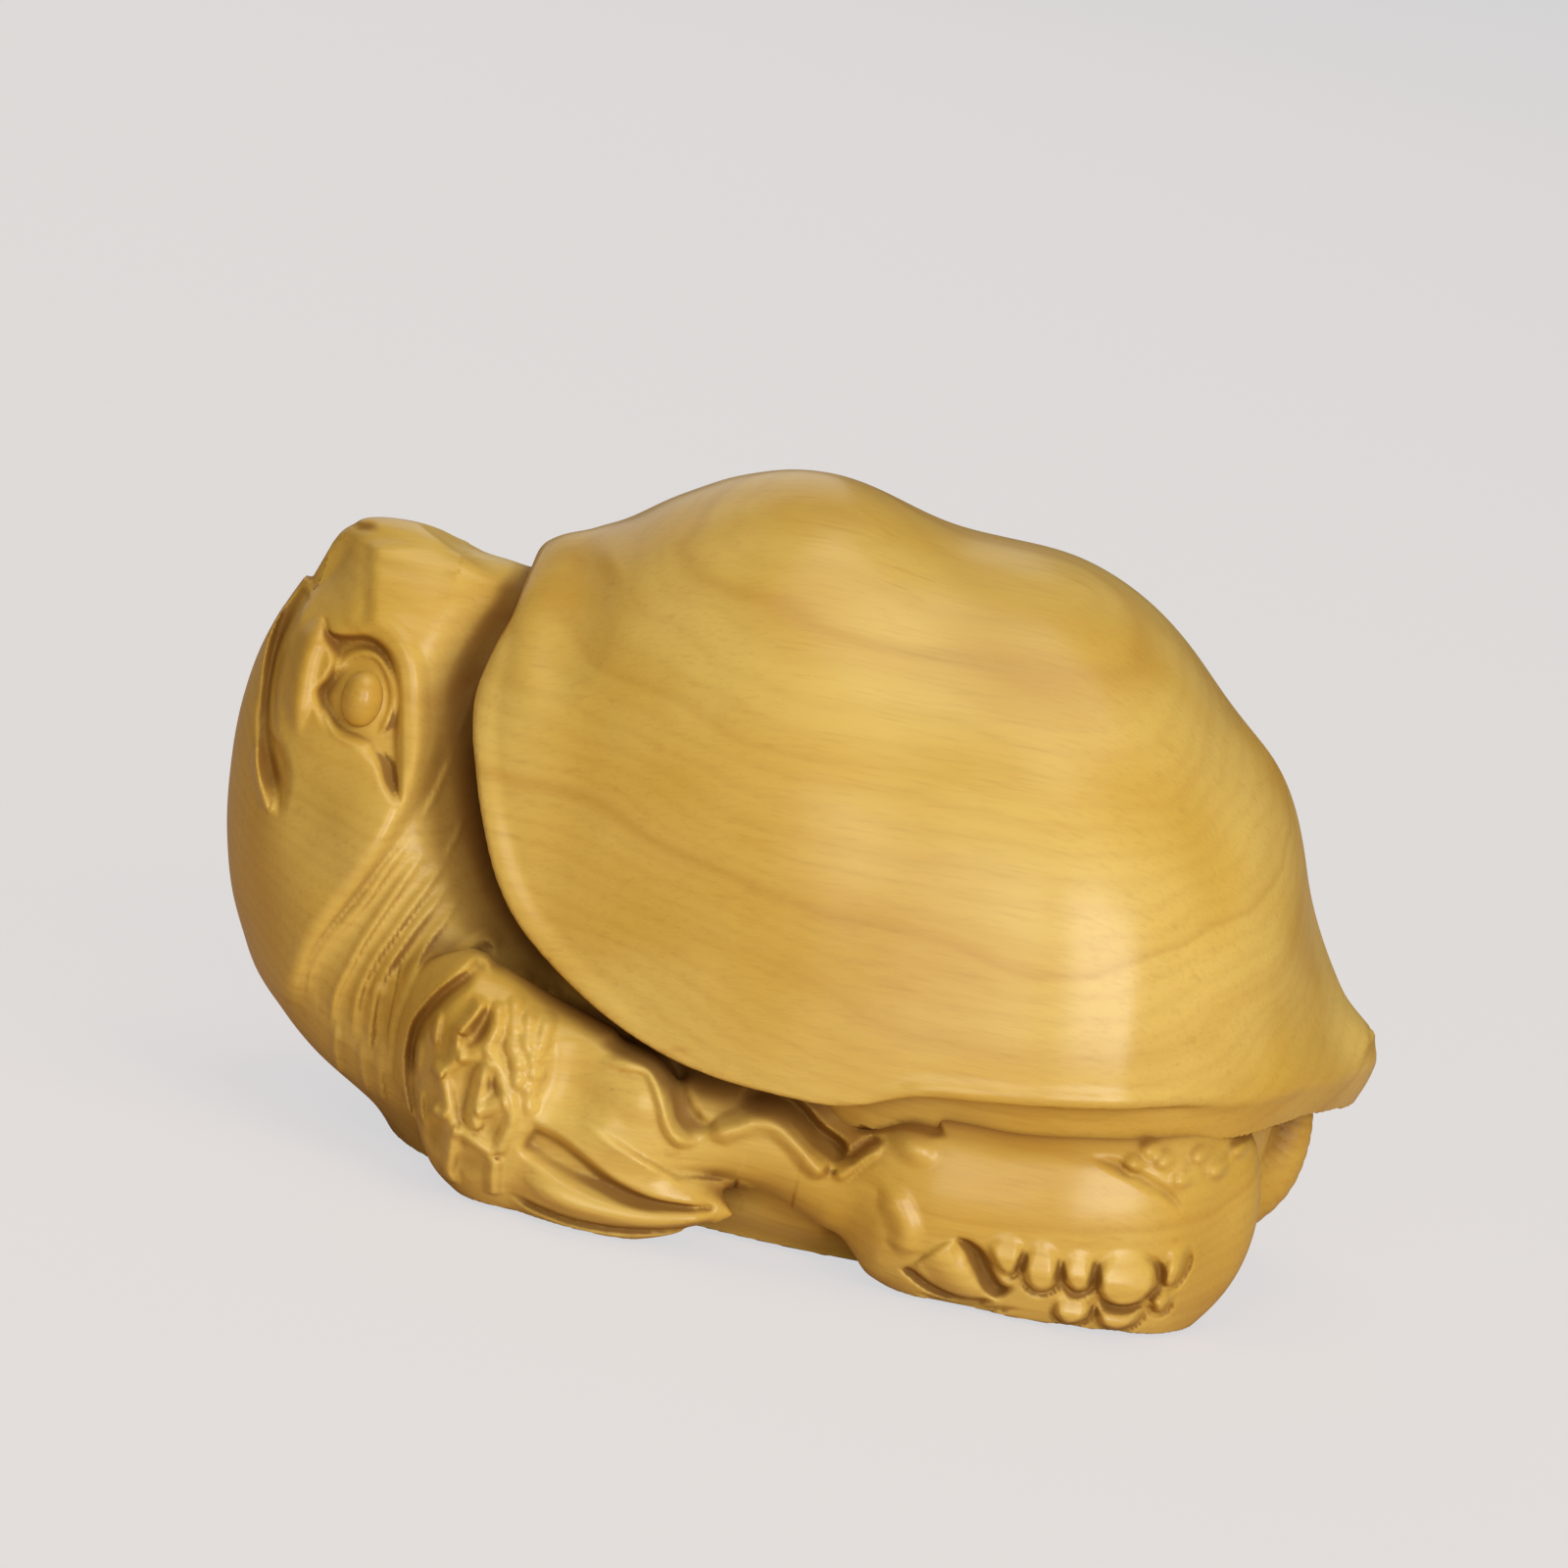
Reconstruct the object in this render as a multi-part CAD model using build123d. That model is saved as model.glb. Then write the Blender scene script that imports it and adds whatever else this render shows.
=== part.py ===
from build123d import *
import os

# Overall size of the carving in millimetres. The head points along -X, the tail along +X,
# the left flank faces -Y and the feet stand on Z = 0.
length = 52.0
width = 36.0
height = 31.8

# Sizes that can be set by themselves
eye_radius = 1.2
eye_proud = 0.5
eye_recess = 0.5
mouth_depth = 0.6
mouth_gape = 0.75
wrinkle_depth = 0.4
wrinkle_width = 0.5
wrinkle_count = 8
claw_radius = 0.85
claw_tip_radius = 0.12
claw_sides = 6
scale_size = 1.2
scale_lift = 0.35
scale_root = 0.9
scale_rake = 24.0
scale_sides = 6
lobe_size = 1.25
lobe_sides = 8
overrun = 6.0

half_width = width / 2

# Dome: place along the body, top, half width and height of the widest line,
# as shares of length, height, half width and height
dome_shares = [
    (-0.327, 0.711, 0.667, 0.226),
    (-0.296, 0.752, 0.683, 0.226),
    (-0.273, 0.814, 0.706, 0.226),
    (-0.238, 0.858, 0.733, 0.226),
    (-0.192, 0.906, 0.789, 0.226),
    (-0.135, 0.962, 0.856, 0.226),
    (-0.062, 1.000, 0.917, 0.226),
    (0.019, 0.978, 0.967, 0.226),
    (0.087, 0.957, 0.992, 0.245),
    (0.163, 0.950, 1.000, 0.274),
    (0.231, 0.914, 0.978, 0.289),
    (0.288, 0.843, 0.928, 0.299),
    (0.337, 0.767, 0.840, 0.308),
    (0.377, 0.706, 0.725, 0.327),
    (0.402, 0.623, 0.615, 0.340),
    (0.421, 0.522, 0.500, 0.352),
    (0.440, 0.450, 0.350, 0.365),
]

# Half of the arch of each cross-section, from the widest line to the top
arch_shares = [(1.0, 0.0), (0.925, 0.39), (0.71, 0.712), (0.38, 0.928), (0.0, 1.0)]

# Edge of the shell seen from the side, from the nape down, back along the flank and up
# behind the dome, as shares of length and height
rim_shares = [
    (-0.270, 0.880),
    (-0.281, 0.796),
    (-0.294, 0.711),
    (-0.302, 0.648),
    (-0.292, 0.572),
    (-0.275, 0.500),
    (-0.248, 0.418),
    (-0.212, 0.358),
    (-0.165, 0.308),
    (-0.106, 0.269),
    (-0.029, 0.247),
    (0.058, 0.247),
    (0.117, 0.283),
    (0.192, 0.296),
    (0.269, 0.311),
    (0.346, 0.327),
    (0.404, 0.355),
    (0.436, 0.387),
    (0.446, 0.421),
    (0.444, 0.487),
]

# Marginal band under the dome: one half of its outline from the tail tip forward,
# as shares of length and half width
band_shares = [
    (0.500, 0.0),
    (0.473, 0.26),
    (0.437, 0.50),
    (0.390, 0.70),
    (0.327, 0.84),
    (0.250, 0.915),
    (0.150, 0.935),
    (0.060, 0.90),
    (-0.020, 0.76),
    (-0.060, 0.42),
    (-0.070, 0.0),
]
band_foot_share = 0.19
band_foot_size_share = 0.90
lip_height_share = 0.355
lip_top_share = 0.452
lip_top_reach_share = 0.442
lip_top_width_share = 0.60
band_underside_shares = [(-0.10, 0.19), (0.08, 0.21), (0.20, 0.237), (0.35, 0.265), (0.44, 0.28), (0.60, 0.25)]

# Body with the flat belly: height, front, back and half width of its level outlines,
# as shares of height, length, length and half width
body_shares = [
    (0.0, -0.235, 0.340, 0.60),
    (0.045, -0.262, 0.378, 0.70),
    (0.14, -0.275, 0.408, 0.775),
    (0.30, -0.265, 0.420, 0.79),
    (0.42, -0.235, 0.400, 0.70),
]

# Head and neck: the same four values for each level outline
head_shares = [
    (0.035, -0.335, -0.09, 0.52),
    (0.095, -0.395, -0.09, 0.555),
    (0.17, -0.443, -0.10, 0.555),
    (0.25, -0.473, -0.11, 0.53),
    (0.345, -0.492, -0.13, 0.495),
    (0.44, -0.5, -0.16, 0.455),
    (0.535, -0.499, -0.18, 0.405),
    (0.63, -0.487, -0.20, 0.345),
    (0.71, -0.463, -0.215, 0.275),
    (0.765, -0.448, -0.235, 0.205),
    (0.805, -0.434, -0.29, 0.125),
    (0.821, -0.420, -0.375, 0.055),
]

# Level outlines of body, head and neck: one half from the front round to the back,
# as shares of the outline's length and half width
level_shares = [(0.0, 0.0), (0.05, 0.42), (0.2, 0.79), (0.45, 1.0), (0.75, 0.95), (0.95, 0.55), (1.0, 0.0)]

# Line from nape to throat where the head ends and the wrinkled neck begins
jaw_top_shares = (-0.288, 0.58)
jaw_foot_shares = (-0.435, 0.145)

# Wrinkles fan out from one place behind the jaw to the throat and the shoulder
wrinkle_root_shares = (-0.285, 0.60)
wrinkle_first_shares = (-0.415, 0.10)
wrinkle_last_shares = (-0.285, 0.05)
wrinkle_bow_share = 0.035

# Mouth and eye slit seen from the side: two ends and the bow of the line
mouth_start_shares = (-0.480, 0.730)
mouth_end_shares = (-0.445, 0.415)
mouth_bow_shares = (-0.480, 0.570)
slit_front_shares = (-0.443, 0.680)
slit_back_shares = (-0.350, 0.490)
slit_bow_share = 0.048
eye_shares = (-0.396, 0.597)
eye_side_share = 0.345

# Limbs: centre along, across and up, then half thickness and half height of each
# cross-section, as shares of length, half width, height, half width and height
front_leg_shares = [
    (-0.297, 0.57, 0.215, 0.045, 0.040),
    (-0.278, 0.62, 0.190, 0.145, 0.130),
    (-0.235, 0.68, 0.165, 0.200, 0.172),
    (-0.173, 0.725, 0.140, 0.195, 0.158),
    (-0.115, 0.765, 0.128, 0.145, 0.120),
    (-0.070, 0.785, 0.138, 0.090, 0.075),
    (-0.050, 0.79, 0.145, 0.035, 0.028),
]
rear_leg_shares = [
    (0.068, 0.79, 0.125, 0.045, 0.040),
    (0.088, 0.79, 0.130, 0.120, 0.095),
    (0.135, 0.78, 0.132, 0.165, 0.122),
    (0.202, 0.755, 0.126, 0.195, 0.132),
    (0.279, 0.715, 0.126, 0.200, 0.129),
    (0.346, 0.645, 0.130, 0.190, 0.122),
    (0.388, 0.565, 0.140, 0.120, 0.085),
    (0.405, 0.535, 0.148, 0.045, 0.030),
]
flank_fold_shares = [
    (-0.056, 0.765, 0.125, 0.035, 0.035),
    (-0.030, 0.765, 0.125, 0.095, 0.075),
    (0.012, 0.77, 0.122, 0.115, 0.082),
    (0.050, 0.77, 0.112, 0.095, 0.070),
    (0.078, 0.765, 0.108, 0.035, 0.030),
]

# Claws seen from the side: root and tip, as shares of length and height
front_claw_shares = [
    ((-0.158, 0.158), (-0.033, 0.070)),
    ((-0.180, 0.090), (-0.018, 0.058)),
    ((-0.182, 0.040), (-0.020, 0.036)),
]
rear_claw_shares = [
    ((0.118, 0.066), (0.212, 0.030)),
    ((0.108, 0.034), (0.250, 0.026)),
    ((0.125, 0.022), (0.235, 0.022)),
]
claw_swell_shares = [(0.0, 0.55), (0.28, 1.0), (0.65, 0.72)]
claw_proud_share = 0.4

# Distance over which the slope of a limb's skin is read
skin_step_share = 0.01

# Scales on the forearm and lobes of the fringe on the hind leg, as shares of length and height
forearm_scale_shares = [
    (-0.268, 0.245), (-0.238, 0.270), (-0.212, 0.245),
    (-0.274, 0.185), (-0.244, 0.205), (-0.214, 0.190),
    (-0.272, 0.122), (-0.243, 0.140), (-0.213, 0.128),
    (-0.262, 0.062), (-0.234, 0.078), (-0.206, 0.066),
]
fringe_lobe_shares = [
    (0.226, 0.085), (0.254, 0.090), (0.283, 0.090), (0.313, 0.098), (0.342, 0.115), (0.368, 0.140),
    (0.268, 0.042), (0.298, 0.042), (0.329, 0.050), (0.358, 0.070),
]

# Tail tucked under the lip: centre along and up, and radius, as shares of length, height, height
tail_shares = [(0.380, 0.115, 0.075), (0.418, 0.140, 0.056), (0.440, 0.190, 0.040), (0.452, 0.245, 0.018)]


def side_point(shares, across=0.0):
    """Place given by its shares along the body and up."""
    return (shares[0] * length, across, shares[1] * height)


def mirrored(points):
    """Closed row of points from one half, with the points off the middle line repeated."""
    other_half = [(x, -y, z) for x, y, z in reversed(points[1:-1])]
    return points + other_half


def closed_face(points):
    """Flat face inside a smooth closed line through the points."""
    return Face(Wire([Edge.make_spline(points, periodic=True)]))


def side_prism(wire):
    """Solid across the whole carving from an outline drawn on the middle plane."""
    reach = half_width + overrun
    return extrude(Face(wire), amount=reach, dir=(0, 1, 0), both=True)


def dome_section(along, top, reach, side):
    """Cross-section of the dome, closed well below the edge of the shell."""
    half = reach * half_width
    low = side * height
    rise = top * height - low
    right = [(along * length, y * half, low + z * rise) for y, z in arch_shares]
    arch = right + [(x, -y, z) for x, y, z in reversed(right[:-1])]
    curve = Edge.make_spline(arch, tangents=[(0, 0, 1), (0, 0, -1)])
    foot = 0.0
    corners = [arch[-1], (arch[-1][0], arch[-1][1], foot), (arch[0][0], arch[0][1], foot), arch[0]]
    lines = [Edge.make_line(a, b) for a, b in zip(corners, corners[1:])]
    return Face(Wire([curve] + lines))


def make_dome():
    """The whole dome before its lower edge is cut."""
    return loft([dome_section(*row) for row in dome_shares])


def above_rim():
    """Everything above the flowing edge of the shell."""
    edge_points = [side_point(p) for p in rim_shares]
    edge = Edge.make_spline(edge_points)
    roof = height + overrun
    first = edge_points[0]
    last = edge_points[-1]
    corners = [last, (last[0], 0.0, roof), (first[0], 0.0, roof), first]
    lines = [Edge.make_line(a, b) for a, b in zip(corners, corners[1:])]
    return side_prism(Wire([edge] + lines))


def band_outline(level, size=1.0):
    """Level outline of the marginal band, drawn in by its size."""
    points = [(x * length * size, y * half_width * size, level * height) for x, y in band_shares]
    return closed_face(mirrored(points))


def lip_top_outline():
    """Narrow outline where the flared lip runs into the back of the dome."""
    along = lip_top_reach_share / band_shares[0][0]
    points = [
        (x * length * along, y * half_width * lip_top_width_share, lip_top_share * height)
        for x, y in band_shares
    ]
    return closed_face(mirrored(points))


def above_band_foot():
    """Everything above the lower edge of the marginal band."""
    foot_points = [side_point(p) for p in band_underside_shares]
    roof = height + overrun
    first = foot_points[0]
    last = foot_points[-1]
    corners = [last, (last[0], 0.0, roof), (first[0], 0.0, roof), first]
    lines = [Edge.make_line(a, b) for a, b in zip(corners, corners[1:])]
    return side_prism(Wire([Edge.make_spline(foot_points)] + lines))


def make_band(shell):
    """Band under the edge of the dome, drawn in at the flank and flared to a point at the tail."""
    lip = band_outline(lip_height_share)
    under = loft([band_outline(band_foot_share, band_foot_size_share), lip])
    over = loft([lip, lip_top_outline()])
    return (under + over) & above_band_foot() - shell


def level_outline(level, front, back, reach, inset=0.0):
    """Level outline of the body or of the head and neck, drawn in all round by the inset."""
    start = front * length + inset
    run = back * length - start
    half = reach * half_width - inset
    points = [(start + x * run, y * half, level * height) for x, y in level_shares]
    return closed_face(mirrored(points))


def make_body():
    """Low body with a flat belly."""
    return loft([level_outline(*row) for row in body_shares])


def make_front(inset=0.0):
    """Head and neck in one piece, drawn in by the inset."""
    return loft([level_outline(*row, inset=inset) for row in head_shares])


def jaw_plane():
    """Slanting plane between head and neck, facing the head."""
    top = Vector(*side_point(jaw_top_shares))
    foot = Vector(*side_point(jaw_foot_shares))
    normal = (top - foot).cross(Vector(0, 1, 0))
    return Plane(origin=foot, z_dir=normal)


def bowed_sliver(start, end, bow, opening):
    """Thin prism across the carving between two bowed lines that meet at both ends."""
    middle = (start + end) * 0.5
    run = (end - start).normalized()
    aside = run.cross(Vector(0, 1, 0))
    first = Edge.make_three_point_arc(start, middle + aside * bow, end)
    second = Edge.make_three_point_arc(end, middle + aside * (bow + opening), start)
    return side_prism(Wire([first, second]))


def fan_sliver(root, end, bow, opening):
    """Thin prism that opens from nothing at its root to its full width at its end."""
    run = (end - root).normalized()
    aside = run.cross(Vector(0, 1, 0))
    wide = end + aside * opening
    first = Edge.make_three_point_arc(root, (root + end) * 0.5 + aside * bow, end)
    foot = Edge.make_line(end, wide)
    second = Edge.make_three_point_arc(wide, (root + wide) * 0.5 + aside * bow, root)
    return side_prism(Wire([first, foot, second]))


def make_neck(front):
    """Neck with shallow wrinkles that fan out from behind the jaw."""
    plane = jaw_plane()
    neck = split(front, bisect_by=plane, keep=Keep.BOTTOM)
    core = split(make_front(wrinkle_depth), bisect_by=plane, keep=Keep.BOTTOM)
    root = Vector(*side_point(wrinkle_root_shares))
    first = Vector(*side_point(wrinkle_first_shares))
    last = Vector(*side_point(wrinkle_last_shares))
    for number in range(wrinkle_count):
        end = first + (last - first) * (number / (wrinkle_count - 1))
        groove = fan_sliver(root, end, -wrinkle_bow_share * length, wrinkle_width)
        neck = neck - (groove - core)
    return neck


def make_head(front):
    """Head with the mouth line and the recess round each eye."""
    plane = jaw_plane()
    head = split(front, bisect_by=plane, keep=Keep.TOP)
    mouth_core = make_front(mouth_depth)
    start = Vector(*side_point(mouth_start_shares))
    end = Vector(*side_point(mouth_end_shares))
    bow = Vector(*side_point(mouth_bow_shares))
    aside = (end - start).normalized().cross(Vector(0, 1, 0))
    bow_size = (bow - (start + end) * 0.5).dot(aside)
    head = head - (bowed_sliver(start, end, bow_size, mouth_gape) - mouth_core)
    slit_front = Vector(*side_point(slit_front_shares))
    slit_back = Vector(*side_point(slit_back_shares))
    slit = slit_bow_share * height
    almond = bowed_sliver(slit_front, slit_back, -slit, slit + slit)
    return head - (almond - make_front(eye_recess))


def make_eye(side):
    """Eyeball that stands proud of its almond recess; side is -1 on the left."""
    along, up = eye_shares
    across = eye_side_share * half_width + eye_proud - eye_radius
    return Pos(along * length, side * across, up * height) * Sphere(eye_radius)


def limb_section(along, across, up, thick, tall):
    """Oval cross-section of a limb on the left flank."""
    plane = Plane(origin=(along * length, -across * half_width, up * height), x_dir=(0, 1, 0), z_dir=(1, 0, 0))
    return plane * Ellipse(thick * half_width, tall * height)


def above_ground():
    """Everything above the surface that the carving stands on."""
    return Pos(0, 0, height / 2) * Box(length + overrun, width + overrun, height)


def make_limb(rows):
    """Swelling limb on the left flank, cut flat where it stands."""
    return loft([limb_section(*row) for row in rows]) & above_ground()


def skin(rows, along, up):
    """Distance of a limb's outer skin from the middle plane at one place."""
    spans = list(zip(rows, rows[1:]))
    before, after = [span for span in spans if span[0][0] <= along][-1]
    blend = min((along - before[0]) / (after[0] - before[0]), 1.0)
    across, middle, thick, tall = [a + (b - a) * blend for a, b in zip(before[1:], after[1:])]
    lift = min(abs(up - middle) / tall, 1.0)
    return (across + thick * (1.0 - lift * lift) ** 0.5) * half_width


def make_claw(rows, root_shares, tip_shares):
    """Leaf-shaped claw that lies along the skin and tapers to a point."""
    proud = claw_radius * claw_proud_share
    root = Vector(*side_point(root_shares, -skin(rows, *root_shares) - proud))
    tip_side = max(skin(rows, *tip_shares), half_width * rows[-1][1])
    tip = Vector(*side_point(tip_shares, -tip_side - proud))
    run = tip - root
    outward = Vector(0, -1, 0)
    rings = [
        Plane(origin=root + run * place, x_dir=outward, z_dir=run) * RegularPolygon(claw_radius * swell, claw_sides)
        for place, swell in claw_swell_shares
    ]
    rings.append(Plane(origin=tip, x_dir=outward, z_dir=run) * RegularPolygon(claw_tip_radius, claw_sides))
    return loft(rings, ruled=True)


def make_scale(rows, place, size, sides):
    """Raised scale that stands on the skin with sloping sides."""
    along, up = place
    step = skin_step_share
    slope_along = (skin(rows, along + step, up) - skin(rows, along - step, up)) / (2 * step * length)
    slope_up = (skin(rows, along, up + step) - skin(rows, along, up - step)) / (2 * step * height)
    outward = Vector(-slope_along, -1.0, -slope_up).normalized()
    centre = Vector(*side_point(place, -skin(rows, along, up))) - outward * scale_root
    plane = Plane(origin=centre, x_dir=Vector(1, -slope_along, 0), z_dir=outward)
    return extrude(plane * RegularPolygon(size, sides), amount=scale_root + scale_lift, taper=scale_rake)


def make_tail():
    """Short tail that tapers up under the lip."""
    rings = []
    centres = [Vector(*side_point(row)) for row in tail_shares]
    for number, row in enumerate(tail_shares):
        before = centres[max(number - 1, 0)]
        after = centres[min(number + 1, len(centres) - 1)]
        plane = Plane(origin=centres[number], z_dir=after - before)
        rings.append(plane * Circle(row[2] * height))
    return loft(rings)


def fused(pieces):
    """One shape from several that touch or cross each other."""
    whole = pieces[0]
    for piece in pieces[1:]:
        whole = whole + piece
    return whole


def evened(shape):
    """The left half of a shape with its exact mirror image."""
    half = split(shape, bisect_by=Plane.XZ, keep=Keep.TOP)
    return half + mirror(half, about=Plane.XZ)


carapace = make_dome() & above_rim()
marginal_band = make_band(carapace)
front = make_front() - carapace
body = evened(make_body() - carapace - marginal_band - front)
head = make_head(front)
neck = make_neck(front)
ground = above_ground()

front_leg = make_limb(front_leg_shares) - carapace - front - body
front_claws = fused([make_claw(front_leg_shares, *ends) for ends in front_claw_shares])
front_claws = (front_claws & ground) - front_leg - body
front_scales = fused([make_scale(front_leg_shares, place, scale_size, scale_sides) for place in forearm_scale_shares])
front_scales = (front_scales & ground) - front_leg - front_claws - front - body

rear_leg = make_limb(rear_leg_shares) - marginal_band - body
rear_claws = fused([make_claw(rear_leg_shares, *ends) for ends in rear_claw_shares])
rear_claws = (rear_claws & ground) - rear_leg - body
rear_scales = fused([make_scale(rear_leg_shares, place, lobe_size, lobe_sides) for place in fringe_lobe_shares])
rear_scales = (rear_scales & ground) - rear_leg - rear_claws - body

flank_fold = make_limb(flank_fold_shares) - marginal_band - body - front_leg - front_claws - rear_leg
left_eye = make_eye(-1)

parts = {
    "carapace": carapace,
    "marginal_band": marginal_band,
    "body": body,
    "neck": neck,
    "head": head - left_eye - mirror(left_eye, about=Plane.XZ),
    "tail": make_tail() - body - marginal_band,
}
for name, left in [
    ("{}_eye", left_eye),
    ("front_{}_leg", front_leg),
    ("front_{}_claws", front_claws),
    ("front_{}_scales", front_scales),
    ("rear_{}_leg", rear_leg),
    ("rear_{}_claws", rear_claws),
    ("rear_{}_scales", rear_scales),
    ("{}_flank_fold", flank_fold),
]:
    parts[name.format("left")] = left
    parts[name.format("right")] = mirror(left, about=Plane.XZ)

os.makedirs("parts", exist_ok=True)
for name, shape in parts.items():
    export_step(shape, f"parts/{name}.step")
    print(name, len(shape.solids()), round(shape.volume, 2))
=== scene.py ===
import math
import bpy
import numpy as np
from mathutils import Matrix, Vector


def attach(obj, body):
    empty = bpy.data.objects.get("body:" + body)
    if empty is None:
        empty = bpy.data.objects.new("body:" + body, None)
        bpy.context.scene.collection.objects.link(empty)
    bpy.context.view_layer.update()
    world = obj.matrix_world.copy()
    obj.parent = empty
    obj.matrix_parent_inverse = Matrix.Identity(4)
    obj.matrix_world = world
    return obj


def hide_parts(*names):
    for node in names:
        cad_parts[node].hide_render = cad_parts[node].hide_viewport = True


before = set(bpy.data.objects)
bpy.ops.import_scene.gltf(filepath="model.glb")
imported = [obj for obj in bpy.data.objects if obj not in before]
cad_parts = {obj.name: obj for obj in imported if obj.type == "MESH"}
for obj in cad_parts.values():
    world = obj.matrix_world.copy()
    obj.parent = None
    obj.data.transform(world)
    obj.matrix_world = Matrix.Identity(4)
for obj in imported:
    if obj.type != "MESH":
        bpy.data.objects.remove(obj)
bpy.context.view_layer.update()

# All sizes of the carving are in millimetres. X runs from head to tail, the left flank faces -Y
# and Z is the height above the ground.
MM = 0.001

# Distance that no place on the carving reaches
FAR_AWAY = 1e9

# How far apart a form is read to find its slope
SLOPE_STEP = 0.03

# Soft curves through given points


def eased(t, start, leave, end, arrive):
    """Soft run from start to end, with the slopes that it leaves and arrives by."""
    return ((2 * t**3 - 3 * t**2 + 1) * start + (t**3 - 2 * t**2 + t) * leave
            + (3 * t**2 - 2 * t**3) * end + (t**3 - t**2) * arrive)


def smooth_line(points, steps):
    """Points along a soft curve that passes through every given point."""
    p = np.array(points, float)
    before = np.vstack([2 * p[:1] - p[1:2], p[:-1]])
    after = np.vstack([p[1:], 2 * p[-1:] - p[-2:-1]])
    slope = (after - before) / 2
    t = np.linspace(0, 1, steps, endpoint=False)[:, None, None]
    curve = eased(t, p[:-1], slope[:-1], p[1:], slope[1:])
    return np.vstack([curve.transpose(1, 0, 2).reshape(-1, p.shape[1]), p[-1:]])


class Table:
    """Values that follow one rising coordinate, softly joined."""

    def __init__(self, rows, samples=1024, soft=0.0):
        rows = np.array(rows, float)
        x, y = rows[:, 0], rows[:, 1:]
        gaps = np.diff(x)
        rise = np.diff(y, axis=0) / gaps[:, None]
        before, after = gaps[:-1, None], gaps[1:, None]
        middle = (rise[:-1] * after + rise[1:] * before) / (after + before)
        slope = np.vstack([rise[:1], middle, rise[-1:]])
        self.low, self.high = x[0], x[-1]
        grid = np.linspace(self.low, self.high, samples)
        span = np.clip(np.searchsorted(x, grid) - 1, 0, len(gaps) - 1)
        t = ((grid - x[span]) / gaps[span])[:, None]
        width = gaps[span][:, None]
        self.values = eased(t, y[span], width * slope[span], y[span + 1], width * slope[span + 1])
        self.scale = (samples - 1) / (self.high - self.low)
        self.last = samples - 2
        if soft:
            self.values = self.evened_out(int(soft * self.scale))

    def evened_out(self, reach):
        """The values, each averaged with its neighbours within reach."""
        weights = np.hanning(2 * reach + 3)[1:-1]
        line = np.pad(self.values, ((reach, reach), (0, 0)), "reflect", reflect_type="odd")
        kept = [np.convolve(column, weights / weights.sum(), "valid") for column in line.T]
        return np.stack(kept, 1)

    def __call__(self, at):
        place = np.clip((at - self.low) * self.scale, 0, self.last + 0.9999)
        number = place.astype(np.int64)
        part = (place - number)[..., None]
        found = self.values[number] * (1 - part) + self.values[number + 1] * part
        return [found[..., k] for k in range(found.shape[-1])]


def soft_step(low, high, value):
    """0 up to the low value, 1 from the high value on, softly joined."""
    t = np.clip((value - low) / (high - low), 0, 1)
    return t * t * (3 - 2 * t)


def blend(a, b, reach):
    """Union of two forms with a soft fillet."""
    t = np.clip(0.5 + 0.5 * (b - a) / reach, 0, 1)
    return b + (a - b) * t - reach * t * (1 - t)


def evened(form, x, y, z):
    """Turns a form's rough depth into a distance by its own slope."""
    here = form(x, y, z)
    rise_x = form(x + SLOPE_STEP, y, z) - here
    rise_y = form(x, y + SLOPE_STEP, z) - here
    rise_z = form(x, y, z + SLOPE_STEP) - here
    slope = (rise_x**2 + rise_y**2 + rise_z**2) ** 0.5
    return here * SLOPE_STEP / np.maximum(slope, 0.01 * SLOPE_STEP)


# Base forms, all mirrored about the middle plane

# Dome: place along the body, height of the ridge, half width, height of the widest line
DOME = Table([
    (-17.6, 22.0, 11.6, 7.2), (-16.2, 23.6, 12.1, 7.2), (-15.2, 25.3, 12.4, 7.2),
    (-14.1, 26.6, 12.8, 7.2), (-12.9, 27.2, 13.15, 7.2), (-11.7, 27.6, 13.5, 7.2),
    (-10.5, 28.3, 13.85, 7.2), (-9.4, 29.2, 14.3, 7.2), (-8.2, 29.9, 14.75, 7.2),
    (-7.05, 30.6, 15.2, 7.2), (-5.8, 31.1, 15.65, 7.2), (-4.6, 31.5, 16.1, 7.2),
    (-3.3, 31.7, 16.5, 7.2), (-2.0, 31.72, 16.85, 7.2), (-0.6, 31.5, 17.15, 7.2),
    (0.7, 31.15, 17.4, 7.2), (2.1, 30.75, 17.6, 7.3), (3.5, 30.5, 17.75, 7.6),
    (4.8, 30.43, 17.85, 7.9), (6.15, 30.4, 17.9, 8.2), (7.5, 30.36, 17.95, 8.5),
    (8.8, 30.2, 17.95, 8.75), (10.2, 29.8, 17.85, 9.0), (11.6, 29.2, 17.65, 9.15),
    (13.1, 28.3, 17.3, 9.3), (14.7, 27.0, 16.85, 9.45), (16.3, 25.4, 15.9, 9.7),
    (17.9, 24.0, 14.85, 10.0), (19.1, 23.0, 13.6, 10.2), (20.0, 21.8, 12.5, 10.5),
    (20.7, 20.5, 11.3, 10.8), (21.3, 18.8, 10.0, 11.1), (21.9, 16.8, 8.6, 11.3),
    (22.5, 15.0, 6.8, 11.5), (23.2, 13.6, 4.4, 11.5), (24.2, 12.5, 2.4, 11.4),
    (25.4, 11.7, 1.2, 11.2),
], soft=1.5)

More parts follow.
